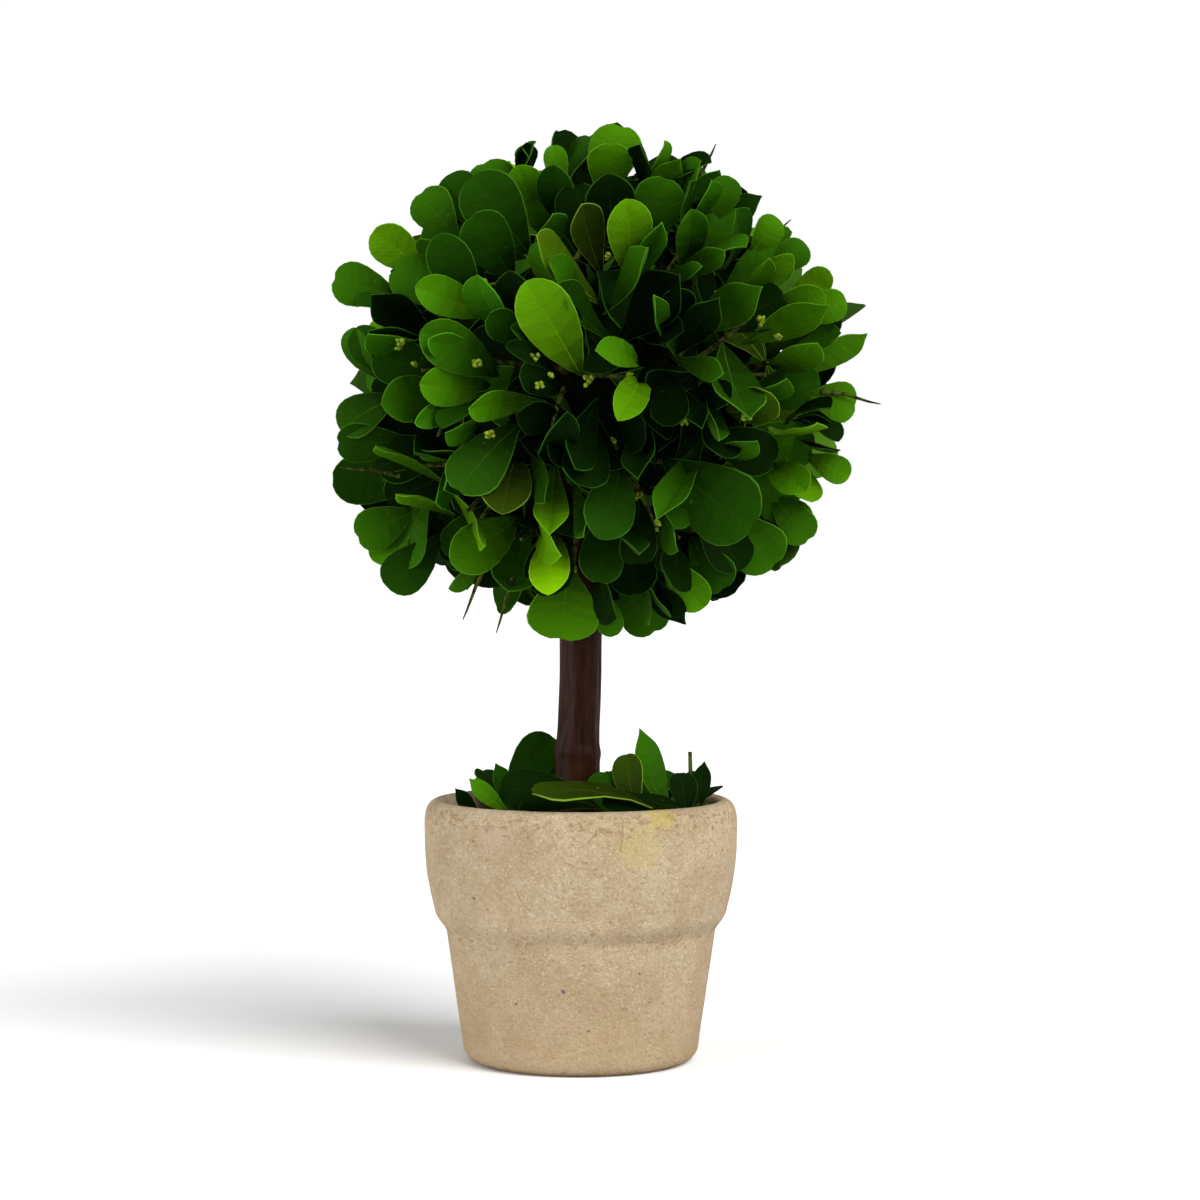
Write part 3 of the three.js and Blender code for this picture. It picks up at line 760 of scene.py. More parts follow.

# ---- The front leaves ------------------------------------------------------------------------------------
# The leaves that show best are teased out of the sprigs and turned by hand, last of all, so that the front of
# the ball is broad overlapping faces with dark hollows between them.

# Each: where its stalk starts and where its tip lies, in millimetres right of and above the ball's middle,
# its width, how far it stands out, its roll in degrees, its shape and its tint. The last rows, with a lift
# below 0, lie behind the others and close the gaps between them.
# Their tints are partly painted light and shade: leaves that face the light take the brighter greens, and
# those in the hollows or behind the others take the deepest ones.
FRONT_LEAVES = [
    (-3, 1, -16, 22.5, 13, 5, 5, 0, BRIGHT),
    (10, 3, -3, 5, 7, 6, 15, 0, MID_BRIGHT),
    (-17, -10, -32, -27, 14, 4, 0, 4, WAXY),
    (-22, -2, -41, -11, 6, 6, -20, 1, VIVID),
    (-22, 3, -37, 8, 7, 7, -10, 1, VIVID),
    (-22, 1, -40, 11, 11, 4, 10, 0, MID),
    (-24, -1, -41, -1, 10, 3, 0, 0, MID_BRIGHT),
    (-11, -5, -28, -8, 8, 4, -30, 1, MID_BRIGHT),
    (-27, 16, -36, 35, 11, 5, 0, 0, DEEP_MID),
    (-19, 24, -29, 38, 13, 3, 0, 4, DEEP_MID),
    (-15, 30, -28, 48, 15, 2, 0, 0, DEEP_MID),
    (-38, 25, -52.5, 36, 10, 3, 0, 1, BRIGHT),
    (-25, 15, -42, 21, 9, 6, 15, 0, MID_BRIGHT),
    (-37, 10, -52, 19.5, 10, 3, -10, 3, DARK),
    (-46, -3, -61, -11, 11, 2, 0, 0, WAXY),
    (-35, -2, -50, -6, 11, 4, 0, 0, MID),
    (2, 17, -12, 33, 10, 5, 20, 1, OLIVE),
    (2, 24, -2, 39, 9, 4, 0, 1, DULL),
    (8, 24, 7, 42, 11, 5, 0, 0, BRIGHT),
    (9, 20, 16, 34, 6, 6, 20, 3, VIVID),
    (-13, -15, -5, -2, 8, 4, 45, 2, DARK),
    (10, -1, 3, -14, 8, 7, 20, 2, BRIGHT),
    (1, -4, -3, -20, 9, 4, -30, 1, DARK),
    (-1, -11, -3, -26, 12, 2, 0, 4, DARK),
    (6, -20, 1, -37, 12, 2, 10, 0, DEEP_MID),
    (-9, -18, -10, -34, 8, 4, 0, 3, BRIGHT),
    (-11, -33, -4, -41, 8, 5, 0, 0, BRIGHT),
    (-9, -36, -10.5, -52, 10, 8, 0, 0, YELLOW),
    (-6, -43, -8, -60, 17, -1, 0, 4, MID_BRIGHT),
    (16, -18, 37, -34, 19, 5, 0, 4, DEEP_MID),
    (26, -12, 14, -30, 8, 6, 40, 3, MID),
    (30, 9, 35, -7, 12, 6, 0, 5, WAXY),
    (22, 11, 37, 20, 10, 5, 0, 5, MID),
    (35, 9, 54, 17, 9, 4, 15, 5, MID_BRIGHT),
    (5, 8, 19, 23, 13, 3, -10, 3, DEEP),
    (19, 5, 16, 17, 5, 7, 20, 3, VIVID),
    (19, 6, 27, 16, 8, 5, -20, 5, DARK),
    (31, -30, 43, -43, 14, 1, 0, 4, MID),
    (-43, -28, -52, -43, 10, 1, 10, 1, MID_BRIGHT),
    (-32, -32, -44, -30, 4, 9, 20, 1, BRIGHT),
    (-34, -26, -29, -39, 6, 6, 20, 1, BRIGHT),
    (-18, -18, -21, -32, 12, 3, 0, 0, DULL),
    (-34, -25, -52, -18.5, 5.5, 8, -15, 1, MID_BRIGHT),
    (2, 42, 6.5, 60.5, 13, 0, 0, 4, MID_BRIGHT),
    (3, 44, 4, 56, 11, 1, 0, 4, MID_BRIGHT),
    (4, 33, 3, 48, 12, 1, 0, 0, DARK),
    (11, 39, 20, 52, 8, 0, 10, 5, MID_BRIGHT),
    (-45, 20, -62.5, 25, 11, 1, 0, 4, MID),
    (-39, -27, -46, -44, 12, 1, 0, 0, MID),
    (-18, -32, -34, -43, 12, 2, 0, 0, MID_BRIGHT),
    (-16, -34, -20, -49, 11, 0, 0, 1, MID),
    (17, -36, 18, -50, 10, 2, 0, 4, DARK),
    (23, -36, 31, -49, 11, 0, 0, 4, DEEP_MID),
    (38, 16, 55, 21, 9, 2, 20, 0, MID_BRIGHT),
    (50, 2, 64, 11, 8, 1, 10, 5, MID_BRIGHT),
    (50, -3, 62, -5, 10, 1, 0, 4, MID_BRIGHT),
    (46, -15, 52, -28, 9, 2, 0, 1, BRIGHT),
    (50, -17, 61, -22, 7, 1, 0, 0, MID_BRIGHT),
    (-42, -30, -57, -37, 11, 0, 0, 4, MID),
    (-36, -36, -49, -48, 11, 0, 0, 0, DEEP_MID),
    (-32, 34, -41, 45, 11, 0, 0, 4, MID),
    (-27, 36, -34, 50, 11, 0, 0, 0, DEEP_MID),
    (-20, 38, -26, 52, 12, 0, 0, 4, MID),
    (-14, 38, -18, 51.5, 10, 0, 0, 0, MID_BRIGHT),
    (-44, 2, -57, 13, 11, 1, 0, 0, DEEP_MID),
    (-51, 1, -58, 13, 8, 0, 0, 0, MID),
    (-43, -13, -61, -14, 10, 0, 0, 4, DEEP_MID),
    (-7, 38, -9.5, 52, 9, 0, 0, 0, DEEP_MID),
    (-8, 44, -10, 57, 6, -1, 0, 0, MID_BRIGHT),
    (4, 9, -6, 21, 8, 4, 40, 3, DEEP_MID),
    (2, 15, 10, 29, 8, 5, -45, 3, MID),
    (17, 23, 29, 28, 6, 5, 35, 1, MID),
    (33, 23, 41, 32, 6, 4, -25, 0, MID_BRIGHT),
    (34, 23, 48, 32, 6, 4, 20, 0, BRIGHT),
    (18, 5, 28, 1, 6, 5, 35, 1, MID),
    (27, 1, 31, -12, 6, 5, -35, 3, MID),
    (11, -5, 9, -21, 8, 5, 45, 3, DARK),
    (18, 1, 17, -14, 9, 4, 25, 4, DEEP),
    (27, -14, 39, -12, 7, 4, 25, 0, MID),
    (31, -7, 43, -3, 10, 3, 0, 4, OLIVE),
    (41, 5, 53, 10, 10, 2, 0, 0, MID_BRIGHT),
    (41, -10, 52, -8, 9, 3, 0, 4, BRIGHT),
    (41, -20, 50, -26, 9, 2, 0, 0, MID_BRIGHT),
    (-15, -14, -13, -28, 6, 3, 20, 1, DEEP_MID),
    (-5, -23, -4, -36, 6, 4, 50, 1, MID),
    (20, 27, 21.5, 41, 8, 2, 0, 0, MID),
    (30, 27, 31.5, 41, 9, 1, 0, 0, DEEP_MID),
    (26, 37, 33, 49, 8, 0, 0, 0, MID),
    (27, 36, 38.5, 43.5, 7, 1, 0, 5, DEEP_MID),
    (37, 31, 43.5, 39.5, 8, 0, 0, 0, MID_BRIGHT),
    (42, 26, 50.5, 33, 8, 0, 0, 0, MID),
    (45, 20, 56.5, 26, 7, 1, 0, 1, BRIGHT),
    (47, 15, 59.5, 20, 8, 0, 0, 0, MID_BRIGHT),
    (16, -41, 26, -53, 9, 0, 0, 0, MID_BRIGHT),
    (1, -48, 5, -61, 7, 0, 0, 1, MID),
    (19, 0, 24, -9, 6, 3, 20, 3, DARK),
    (11, 22, 22.5, 25.5, 4, 5, 20, 1, MID),
    (-16, 12, -19, 26, 9, 1, 0, 0, DARK),
    (-14, 9, -26, 15, 8, 1, 0, 4, DEEP_MID),
    (-12, 5, -23, 13, 5, 3, 20, 2, DEEP_MID),
    (-10, 2, -25, 8, 5, 4, 20, 2, DARK),
    (-8, -3, -19, 2, 8, 0, 20, 4, DARK),
    (-9, -8, -19, -8, 8, 0, -20, 0, DEEP),
    (-4, 5, -9, 16, 9, -3, 30, 4, DEEP),
    (12, 9, 22, 10, 8, -2, -20, 0, DEEP),
    (6, -6, 13, -16, 9, -1, 25, 4, DEEP),
    (-6, -10, -11, -20, 8, 0, -20, 4, DEEP),
    (24, -2, 33, -6, 8, 1, 20, 4, DARK),
    (25, -8, 30, -20, 9, 0, -20, 4, DARK),
    (14, 14, 22, 22, 8, 0, 20, 4, DARK),
    (-34, 2, -52, 7, 12, -4, 0, 4, DEEP_MID),
    (-35, -3, -54, -2, 12, -4, 0, 4, DARK),
    (-34, -10, -53, -11, 12, -4, 0, 4, DEEP),
    (-34, -15, -52, -20, 12, -4, 0, 0, DARK),
    (-34, -21, -50, -28, 12, -4, 0, 4, DARK),
    (-26, 26, -40, 38, 12, -4, 0, 0, DEEP_MID),
    (-30, 18, -48, 27, 12, -4, 0, 4, MID),
    (-10, 33, -14, 50, 12, -4, 0, 0, MID),
    (12, 32, 17, 48, 12, -4, 0, 4, MID),
    (22, 28, 33, 43, 12, -4, 0, 0, MID),
    (30, 20, 46, 31, 12, -4, 0, 4, MID),
    (35, -2, 54, 1, 12, -4, 0, 0, DEEP_MID),
    (34, -12, 52, -16, 12, -4, 0, 4, MID),
    (33, -20, 48, -30, 12, -4, 0, 4, MID),
    (24, -28, 35, -44, 12, -4, 0, 0, DARK),
    (8, -34, 10, -51, 12, -4, 0, 4, DARK),
    (-8, -34, -12, -50, 12, -4, 0, 0, DARK),
    (-24, -28, -34, -42, 12, -4, 0, 4, DEEP_MID),
    (2, -29, 1, -48, 11, -2, 0, 4, DEEP_MID),
    (27, 13, 45, 20, 12, -6, 0, 4, DARK),
    (26, -12, 43, -19, 12, -6, 0, 4, DARK),
    (-2, 28, -4, 47, 12, -6, 0, 4, DARK),
    (38, -26, 52, -34, 8, -1, 0, 1, BRIGHT),
    (42, -26, 51, -37, 9, 1, 0, 4, MID),
]
STALK_REACH = 38 * MM  # of a front leaf's two ends from the ball's middle
TIP_REACH = 59.5 * MM


def front_place(right, up, reach):
    """The point this far right of and above the ball's middle, on its front, and this far from its middle."""
    aside = math.hypot(right, up) * MM
    reach = max(reach, aside + 1.5 * MM)
    return BALL_CENTRE + Vector((right * MM, -math.sqrt(reach**2 - aside**2), up * MM))


ROLL_PLAY = 15  # degrees that a front leaf's roll may be off, so that no two look alike
OUTWARD_SHARE = 0.7  # how much a front leaf faces away from the ball's middle, against 1 towards the front

front_spots, front_zones = [], []
draw = random.Random(11)
for x0, z0, x1, z1, width, lift, roll, pattern, tint in FRONT_LEAVES:
    start = front_place(x0, z0, STALK_REACH + lift * 0.6 * MM)
    tip = front_place(x1, z1, TIP_REACH + lift * MM)
    outwards = (start.lerp(tip, 0.6) - BALL_CENTRE).normalized()
    outwards = outwards * OUTWARD_SHARE + Vector((0, -1, 0))
    roll += draw.uniform(-ROLL_PLAY, ROLL_PLAY)
    front_spots.append(laid_leaf(start, tip, outwards, width * MM, roll, pattern, tint))
    ahead = (tip - start).normalized()
    out = (outwards - ahead * outwards.dot(ahead)).normalized()
    zone = Matrix((ahead, out.cross(ahead), out))
    front_zones.append((start, zone, (tip - start).length, width * MM / 2))


# What a front leaf must not have over it: along what shares of its length, across what share of its half
# width, and from how far under it to how far over it.
CLEAR_ALONG = (0.15, 0.98)
CLEAR_ACROSS = 0.8
CLEAR_OVER = (-4 * MM, 25 * MM)


def hides_front(point):
    """Whether a point lies over one of the front leaves."""
    for start, zone, length, half in front_zones:
        along, across, over = zone @ (point - start)
        inside = CLEAR_ALONG[0] * length < along < CLEAR_ALONG[1] * length
        if inside and abs(across) < CLEAR_ACROSS * half and CLEAR_OVER[0] < over < CLEAR_OVER[1]:
            return True
    return False


# Between them, more leaves stand nearly edge on, so that only their pale rims and a sliver of face show.
ROSETTE = (-3, -3)  # the middle that the leaves spread from, right of and above the ball's middle
EDGE_ON_TRIES = 700
EDGE_ON_FIELD = 54  # how far from the rosette's middle they start, in millimetres
EDGE_ON_LIMIT = 60  # how far from the ball's middle their tips may lie
EDGE_ON_TINTS = (DARK, DEEP_MID, MID, MID, MID_BRIGHT, VIVID)
for i in range(EDGE_ON_TRIES):
    turn = draw.uniform(0, 2 * math.pi)
    away = EDGE_ON_FIELD * math.sqrt(draw.uniform(0.03, 1.0))
    x0, z0 = ROSETTE[0] + away * math.cos(turn), ROSETTE[1] + away * math.sin(turn)
    lean = turn + draw.uniform(-0.6, 0.6)
    run = draw.uniform(10, 16)
    x1, z1 = x0 + run * math.cos(lean), z0 + run * math.sin(lean)
    roll = draw.choice((-1, 1)) * draw.uniform(45, 78)
    width, lift = draw.uniform(7, 10), draw.uniform(-1, 4)
    pattern, tint = draw.choice((0, 1, 2, 3)), draw.choice(EDGE_ON_TINTS)
    if math.hypot(x1, z1) > EDGE_ON_LIMIT:
        continue
    start, tip = front_place(x0, z0, STALK_REACH + 4 * MM), front_place(x1, z1, TIP_REACH + lift * MM)
    if any(hides_front(start.lerp(tip, share)) for share in (0.5, 0.75, 1.0)):
        continue
    front_spots.append(laid_leaf(start, tip, Vector((0, -1, 0)), width * MM, roll, pattern, tint))

front = deal("leaves_front", front_spots, leaf_dealing, leaf_patterns, 99)
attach(front, "root")

# ---- The bunches of sprigs -------------------------------------------------------------------------------
# Short boxwood shoots are cut, gathered a few together and pushed into the foam, until they hide it. Leaves
# stand on a shoot in crossed pairs, and open wider the further they are from its bud, like a rosette.

SIDE_SPRIGS = 4  # round the main sprig of a bunch
SIDE_SPREAD = (18, 23)  # degrees from it, seen from the ball's middle
MAIN_PAIRS = ((32, 18), (50, 24), (65, 28), (78, 29))  # degrees from the shoot and millimetres, from the bud
SIDE_PAIRS = ((38, 17), (55, 22), (70, 25))
# The darker tints of the inner pairs are partly painted shade, for the hollows deep in the ball, and partly
# the older leaves' own darker green.
AGE_AND_SHADE = (0, 0, 1, 2)  # how many tints darker each pair is, since the older leaves are the darker ones
PAIR_SPACING = 4.8 * MM
BUD_DEPTH = 13 * MM  # of a sprig's bud below the ball's outline
INSET = -0.3 * MM  # of the leaves' tips from the ball's outline
FITTING_TRIES = 6  # for a leaf that doesn't fit, each time opened wider and made shorter
OPENED_WIDER = 7  # degrees
MADE_SHORTER = 0.97
# Bunches that point further forward than this take darker tints, as painted shade.
SHADED_FROM = -0.35  # how far forward a bunch points, out of 1, where the front leaves shade it

bunch_nodes = sorted(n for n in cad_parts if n.startswith("sprigs_"))


def outline_tree():
    """The bunches' CAD solids as one shape for casting rays at."""
    points, faces = [], []
    for label in bunch_nodes:
        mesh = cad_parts[label].data
        start = len(points)
        points += [v.co.copy() for v in mesh.vertices]
        faces += [tuple(start + i for i in p.vertices) for p in mesh.polygons]
    return BVHTree.FromPolygons(points, faces)


ball_outline = outline_tree()
FAR = 200 * MM  # well outside the ball
USUAL_RADIUS = 60 * MM  # of the ball, where no bunch is met


def outline_radius(way):
    """How far the ball's outline is from its centre this way."""
    hit = ball_outline.ray_cast(BALL_CENTRE + way * FAR, -way)[0]
    return (hit - BALL_CENTRE).length if hit else USUAL_RADIUS


def square_to(way):
    """Two directions at right angles to this one and to each other."""
    side = way.cross(Vector((0, 0, 1)) if abs(way.z) < 0.9 else Vector((0, 1, 0))).normalized()
    return side, way.cross(side)


def fits(place, ahead, facing, length, width):
    """Whether a leaf here stays inside the ball's outline and clear of the stick and the front leaves."""
    side = ahead.cross(facing) * (width * 0.4)
    for share in (0.35, 0.6, 0.8, 1.0):
        p = place + ahead * (length * share)
        if p.z < BALL_CENTRE.z - FOAM_RADIUS and math.hypot(p.x, p.y) < STICK_RADIUS + 1.5 * MM:
            return False
        if p.y < 0 and (hides_front(p) or hides_front(p + side) or hides_front(p - side)):
            return False
    off = place + ahead * length - BALL_CENTRE
    return off.length < outline_radius(off.normalized()) - INSET


def grow_sprig(draw, way, root, pairs, tint, leaves, shoots, buds):
    """Adds a sprig that points this way: its shoot, its crossed pairs of leaves and the bud at its tip."""
    tip = BALL_CENTRE + way * (outline_radius(way) - BUD_DEPTH - draw.uniform(0, 3) * MM)
    knee = root.lerp(tip, 0.5) + way * 3 * MM
    shoots.append([root] + [Vector(p) for p in bezier([root, knee, tip], 5)])
    run = (tip - knee).normalized()
    side, up = square_to(run)
    twist = draw.uniform(0, math.pi)
    for number, (opening, length) in enumerate(pairs):
        place = tip - run * (number * PAIR_SPACING + draw.uniform(0, 1) * MM)
        twist += math.pi / 2 + draw.uniform(-0.25, 0.25)
        for half in (0, math.pi):
            a = twist + half + draw.uniform(-0.2, 0.2)
            out = side * math.cos(a) + up * math.sin(a)
            reach = length * MM * draw.uniform(0.88, 1.15)
            open_now = math.radians(opening + draw.uniform(-9, 10))
            roll = draw.gauss(0, 0.2)
            pattern = draw.choice((0, 0, 1, 2, 3, 4, 4, 5))
            own_tint = tint
            if tint <= YELLOW:
                own_tint = max(DEEP, min(YELLOW, tint + draw.choice((-1, 0, 0, 0, 1)) - AGE_AND_SHADE[number]))
            width = reach * draw.uniform(0.5, 0.66)
            for attempt in range(FITTING_TRIES):
                ahead = run * math.cos(open_now) + out * math.sin(open_now)
                facing = (run - ahead * run.dot(ahead)).normalized()
                facing = Quaternion(ahead, roll) @ facing
                if fits(place, ahead, facing, reach, width):
                    break
                open_now += math.radians(OPENED_WIDER)
                reach *= MADE_SHORTER
            else:
                continue
            leaves.append(leaf_spot(place + out * 0.4 * MM, ahead, facing, reach, width, pattern, own_tint))
    if not hides_front(tip):
        buds.append((tip, run, draw.uniform(0.8, 1.2)))


# The tints that a main sprig and a side sprig may have, in the open and behind the front leaves, where the
# darker tints are painted shade.
BRIGHT_BUNCH = (DARK, DEEP_MID, MID, MID, MID_BRIGHT)
BRIGHT_SPRIG = (DEEP, DARK, DARK, DEEP_MID, MID, MID, MID_BRIGHT, BRIGHT, VIVID, OLIVE, WAXY)
SHADED_BUNCH = (DEEP, DARK, DARK, DEEP_MID, MID)
SHADED_SPRIG = (DEEP, DEEP, DARK, DARK, DEEP_MID, MID)

all_shoots, all_buds = [], []
for number, label in enumerate(bunch_nodes):
    draw = random.Random(100 + number)
    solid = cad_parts[label].data
    middle = sum((v.co for v in solid.vertices), Vector()) / len(solid.vertices) - BALL_CENTRE
    middle.normalize()
    side, up = square_to(middle)
    root = BALL_CENTRE + middle * (FOAM_RADIUS - 2 * MM)
    leaves = []
    shaded = middle.y < SHADED_FROM
    bunch_tint = draw.choice(SHADED_BUNCH if shaded else BRIGHT_BUNCH)
    grow_sprig(draw, middle, root, MAIN_PAIRS, bunch_tint, leaves, all_shoots, all_buds)
    start = draw.uniform(0, 2 * math.pi)
    for k in range(SIDE_SPRIGS):
        spread = math.radians(draw.uniform(*SIDE_SPREAD))
        a = start + 2 * math.pi * k / SIDE_SPRIGS
        way = middle * math.cos(spread) + (side * math.cos(a) + up * math.sin(a)) * math.sin(spread)
        tint = draw.choice(BRIGHT_SPRIG)
        if shaded:
            tint = draw.choice(SHADED_SPRIG)
        start_at = root + (side * math.cos(a) + up * math.sin(a)) * 3 * MM
        grow_sprig(draw, way.normalized(), start_at, SIDE_PAIRS, tint, leaves, all_shoots, all_buds)
    piece = deal("leaves_" + label.removeprefix("sprigs_"), leaves, leaf_dealing, leaf_patterns, number)
    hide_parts(label)
    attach(piece, "root")

# ---- The shoots ------------------------------------------------------------------------------------------
# The shoots that carry the leaves are thin and woody. A few bare ones have lost their leaves and stand out
# of the ball.

SHOOT_RADIUS = 0.8 * MM

# Bare shoots: where each starts and ends, right of, behind and above the ball's middle.
BARE_SHOOTS = [
    ((-46, -18, -22), (-60, -20, -20)),
    ((-26, -20, -44), (-31, -21, -56)),
    ((-19, -24, -46), (-23, -25, -59)),
    ((24, -10, 46), (29, -11, 57)),
    ((54, -14, -2), (68, -16, -5)),
    ((40, 20, 34), (49, 25, 42)),
]


def shoot_tree():
    """Turns edges into round tapering shoots."""
    inputs = [("Radius", "Float", SHOOT_RADIUS), ("Sides", "Int", 7), ("Material", "Material", None)]
    tree, given, result = new_tree("grow_shoots", inputs)
    path = add(tree, "GeometryNodeMeshToCurve", {"Mesh": given["Geometry"]})
    ring = add(tree, "GeometryNodeCurvePrimitiveCircle", {"Resolution": given["Sides"], "Radius": 1.0})
    taper = add(tree, "GeometryNodeInputNamedAttribute", {"Name": "taper"}, data_type="FLOAT")
    size = add(tree, "ShaderNodeMath", {0: taper, 1: given["Radius"]}, operation="MULTIPLY")
    feeds = {"Curve": path, "Profile Curve": ring, "Scale": size, "Fill Caps": True}
    tube = add(tree, "GeometryNodeCurveToMesh", feeds)
    painted = add(tree, "GeometryNodeSetMaterial", {"Geometry": tube, "Material": given["Material"]})
    feed(tree, result, {"Geometry": painted})
    return tree


def shoot_piece(name, paths, material, first=1.0, last=0.55):
    """One piece with a shoot along each path, tapering from its first point to its last."""
    points, edges, taper = [], [], []
    for path in paths:
        start = len(points)
        points += path
        edges += [(start + i, start + i + 1) for i in range(len(path) - 1)]
        taper += [first + (last - first) * i / (len(path) - 1) for i in range(len(path))]
    mesh = bpy.data.meshes.new(name)
    mesh.from_pydata(points, edges, [])
    mesh.attributes.new("taper", "FLOAT", "POINT").data.foreach_set("value", taper)
    return settle(piece_from(name, mesh), shoot_growing, {"Material": material})


def green_wood():
    """Young boxwood stem: four-cornered when fresh, dried to a mottled brown green skin."""
    material, tree, shader = new_material("green_wood", "#2E3610", 0.8, 0.06)
    place = add(tree, "ShaderNodeTexCoord").outputs["Object"]
    skin = add(tree, "ShaderNodeTexNoise", {"Vector": place, "Scale": 1 / (1.5 * MM), "Detail": 3.0})
    weather(tree, shader, skin, 0.38, 0.64, "#1E1A0A", "#3E4A14", 0.5, 0.2 * MM)
    return material


shoot_growing = shoot_tree()
stem_skin = green_wood()
bare = [[BALL_CENTRE + Vector(a) * MM, BALL_CENTRE + Vector(b) * MM] for a, b in BARE_SHOOTS]
bare = [[a, a.lerp(b, 0.4) + Vector((0, 0, 0.6 * MM)), a.lerp(b, 0.8), b] for a, b in bare]
shoots = shoot_piece("boxwood_shoots", all_shoots, stem_skin)
spikes = shoot_piece("bare_shoots", bare, stem_skin, 0.8, 0.15)
for piece in (shoots, spikes):
    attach(piece, "root")

# ---- The buds --------------------------------------------------------------------------------------------
# Each shoot ends in a knot of dry flower buds, yellow green and about three millimetres across.

BUD_SIZE = 2.5 * MM
BUD_SIDES = 5

# The buds that show on the front: right of and above the ball's middle and from it, in millimetres.
FRONT_BUDS = [
    (-44, 8, 57),
    (-41, 4, 56),
    (-26, 3, 55),
    (-13, 4, 54),
    (-10, 1, 55),
    (-12, -2, 54),
    (-1, -1, 55),
    (14, -32, 57),
    (34, -9, 60),
    (38, 13, 56),
    (41, 10, 62),
    (-23, -13, 61),
]


def bud_pattern(name, seed):
    """A knot of three or four pointed buds, upright along +Y."""
    draw = random.Random(seed)
    points, faces = [], []
    for k in range(3 + seed % 2):
        lean = Vector((draw.uniform(-0.6, 0.6), 1, draw.uniform(-0.6, 0.6))).normalized()
        side, up = square_to(lean)
        foot = Vector((lean.x, 0, lean.z)) * BUD_SIZE * 0.35
        long, fat = BUD_SIZE * draw.uniform(0.55, 0.8), BUD_SIZE * draw.uniform(0.2, 0.27)
        start = len(points)
        for share, wide in ((0.0, 0.5), (0.45, 1.0), (0.85, 0.6)):
            for i in range(BUD_SIDES):
                a = 2 * math.pi * i / BUD_SIDES
                out = side * math.cos(a) + up * math.sin(a)
                points.append(foot + lean * (long * share) + out * fat * wide)
        points.append(foot + lean * long)
        for i in range(BUD_SIDES):
            j = (i + 1) % BUD_SIDES
            for row in (0, 1):
                low, high = start + row * BUD_SIDES, start + (row + 1) * BUD_SIDES
                faces.append((low + i, low + j, high + j, high + i))
            faces.append((start + 2 * BUD_SIDES + i, start + 2 * BUD_SIDES + j, start + 3 * BUD_SIDES))
        faces.append(tuple(start + i for i in reversed(range(BUD_SIDES))))
    mesh = bpy.data.meshes.new(name)
    mesh.from_pydata(points, [], faces)
    mesh.shade_smooth()
    return bpy.data.objects.new(name, mesh)


def dry_bud():
    """Dry bud scales, waxy yellow green with browner seams between them."""
    material, tree, shader = new_material("dry_bud", "#5E7420", 0.75, 0.06)
    place = add(tree, "ShaderNodeTexCoord").outputs["Object"]
    scales = add(tree, "ShaderNodeTexNoise", {"Vector": place, "Scale": 1 / (0.8 * MM), "Detail": 2.0})
    weather(tree, shader, scales, 0.36, 0.62, "#48580F", "#748A24", 0.5, 0.2 * MM)
    return material


def bud_spot(place, ahead, size, pattern):
    """A knot of buds at a place, pointing ahead."""
    side, up = square_to(ahead)
    turn = Matrix((ahead.cross(up), ahead, up)).transposed().to_quaternion()
    return tuple(place), tuple(turn), (size, size, size), pattern, 0


bud_spots = [bud_spot(place, run, size, i % 3) for i, (place, run, size) in enumerate(all_buds)]
for i, (right, up, reach) in enumerate(FRONT_BUDS):
    place = front_place(right, up, reach * MM)
    bud_spots.append(bud_spot(place, (place - BALL_CENTRE).normalized(), 1.1, i % 3))
bud_patterns = pattern_collection("bud_patterns", [bud_pattern(f"bud_{i}", i + 1) for i in range(3)])
buds = deal("flower_buds", bud_spots, dealing_tree("deal_buds", [dry_bud()], 1), bud_patterns)
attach(buds, "root")

# ---- The leaves in the pot -------------------------------------------------------------------------------
# Loose leaves of the same boxwood, stood against the rim and laid on the moss to hide it.

# Each: its stalk's and its tip's place in millimetres, the way its face looks, its width, shape and tint.
POT_LEAVES = [
    ((17, -29, 64), (-13, -31, 66), (0.0, -0.3, 1.0), 12, 4, DULL),
    ((5, -19, 63), (-19, -18, 67), (0.0, -0.9, 0.6), 12, 4, DARK),
    ((-19, 8, 62), (-7, 12, 77), (-0.1, -1.0, 0.2), 11, 0, DEEP_MID),
    ((-17, -23, 62), (-26, -21, 70), (-0.2, -1.0, 0.5), 4.5, 5, MID_BRIGHT),
    ((-24, -2, 58), (-30, -4, 66), (0.2, -1.0, 0.3), 4, 5, DARK),
    ((-15, -10, 61), (-20, -8, 72), (0.3, -1.0, 0.2), 5, 5, DEEP_MID),
    ((7, -16, 60), (6, -14, 71), (0.1, -1.0, 0.3), 9, 4, DEEP_MID),
    ((8, -14, 60), (10, -10, 74), (0.6, -1.0, 0.2), 4, 3, MID),
    ((14, -17, 60), (11, -12, 76), (-0.3, -1.0, 0.2), 8, 0, DULL),
    ((21, -15, 60), (15, -10, 80), (0.9, -1.0, 0.2), 9, 5, MID),
    ((25, -11, 59), (24, -8, 70), (0.3, -1.0, 0.2), 7, 0, DARK),
    ((28, -6, 60), (30, -3, 72), (0.4, -1.0, 0.3), 5, 5, DARK),
    ((26, -20, 62), (12, -27, 64), (0.2, -0.5, 1.0), 10, 4, DARK),
    ((0, -24, 61), (-14, -25, 63), (0.0, -0.4, 1.0), 10, 1, DARK),
    ((-8, -12, 59), (-24, -14, 60), (0.0, 0.1, 1.0), 11, 0, DEEP_MID),
    ((12, 4, 60), (24, 12, 68), (-0.4, -0.6, 0.8), 12, 0, DEEP_MID),
    ((20, -25, 63), (4, -29, 65), (0.0, -0.9, 0.7), 7, 4, DARK),
]
BACK_LEAVES = 22
RIM_CLEARANCE = 3 * MM  # of a leaf that lies over the rim

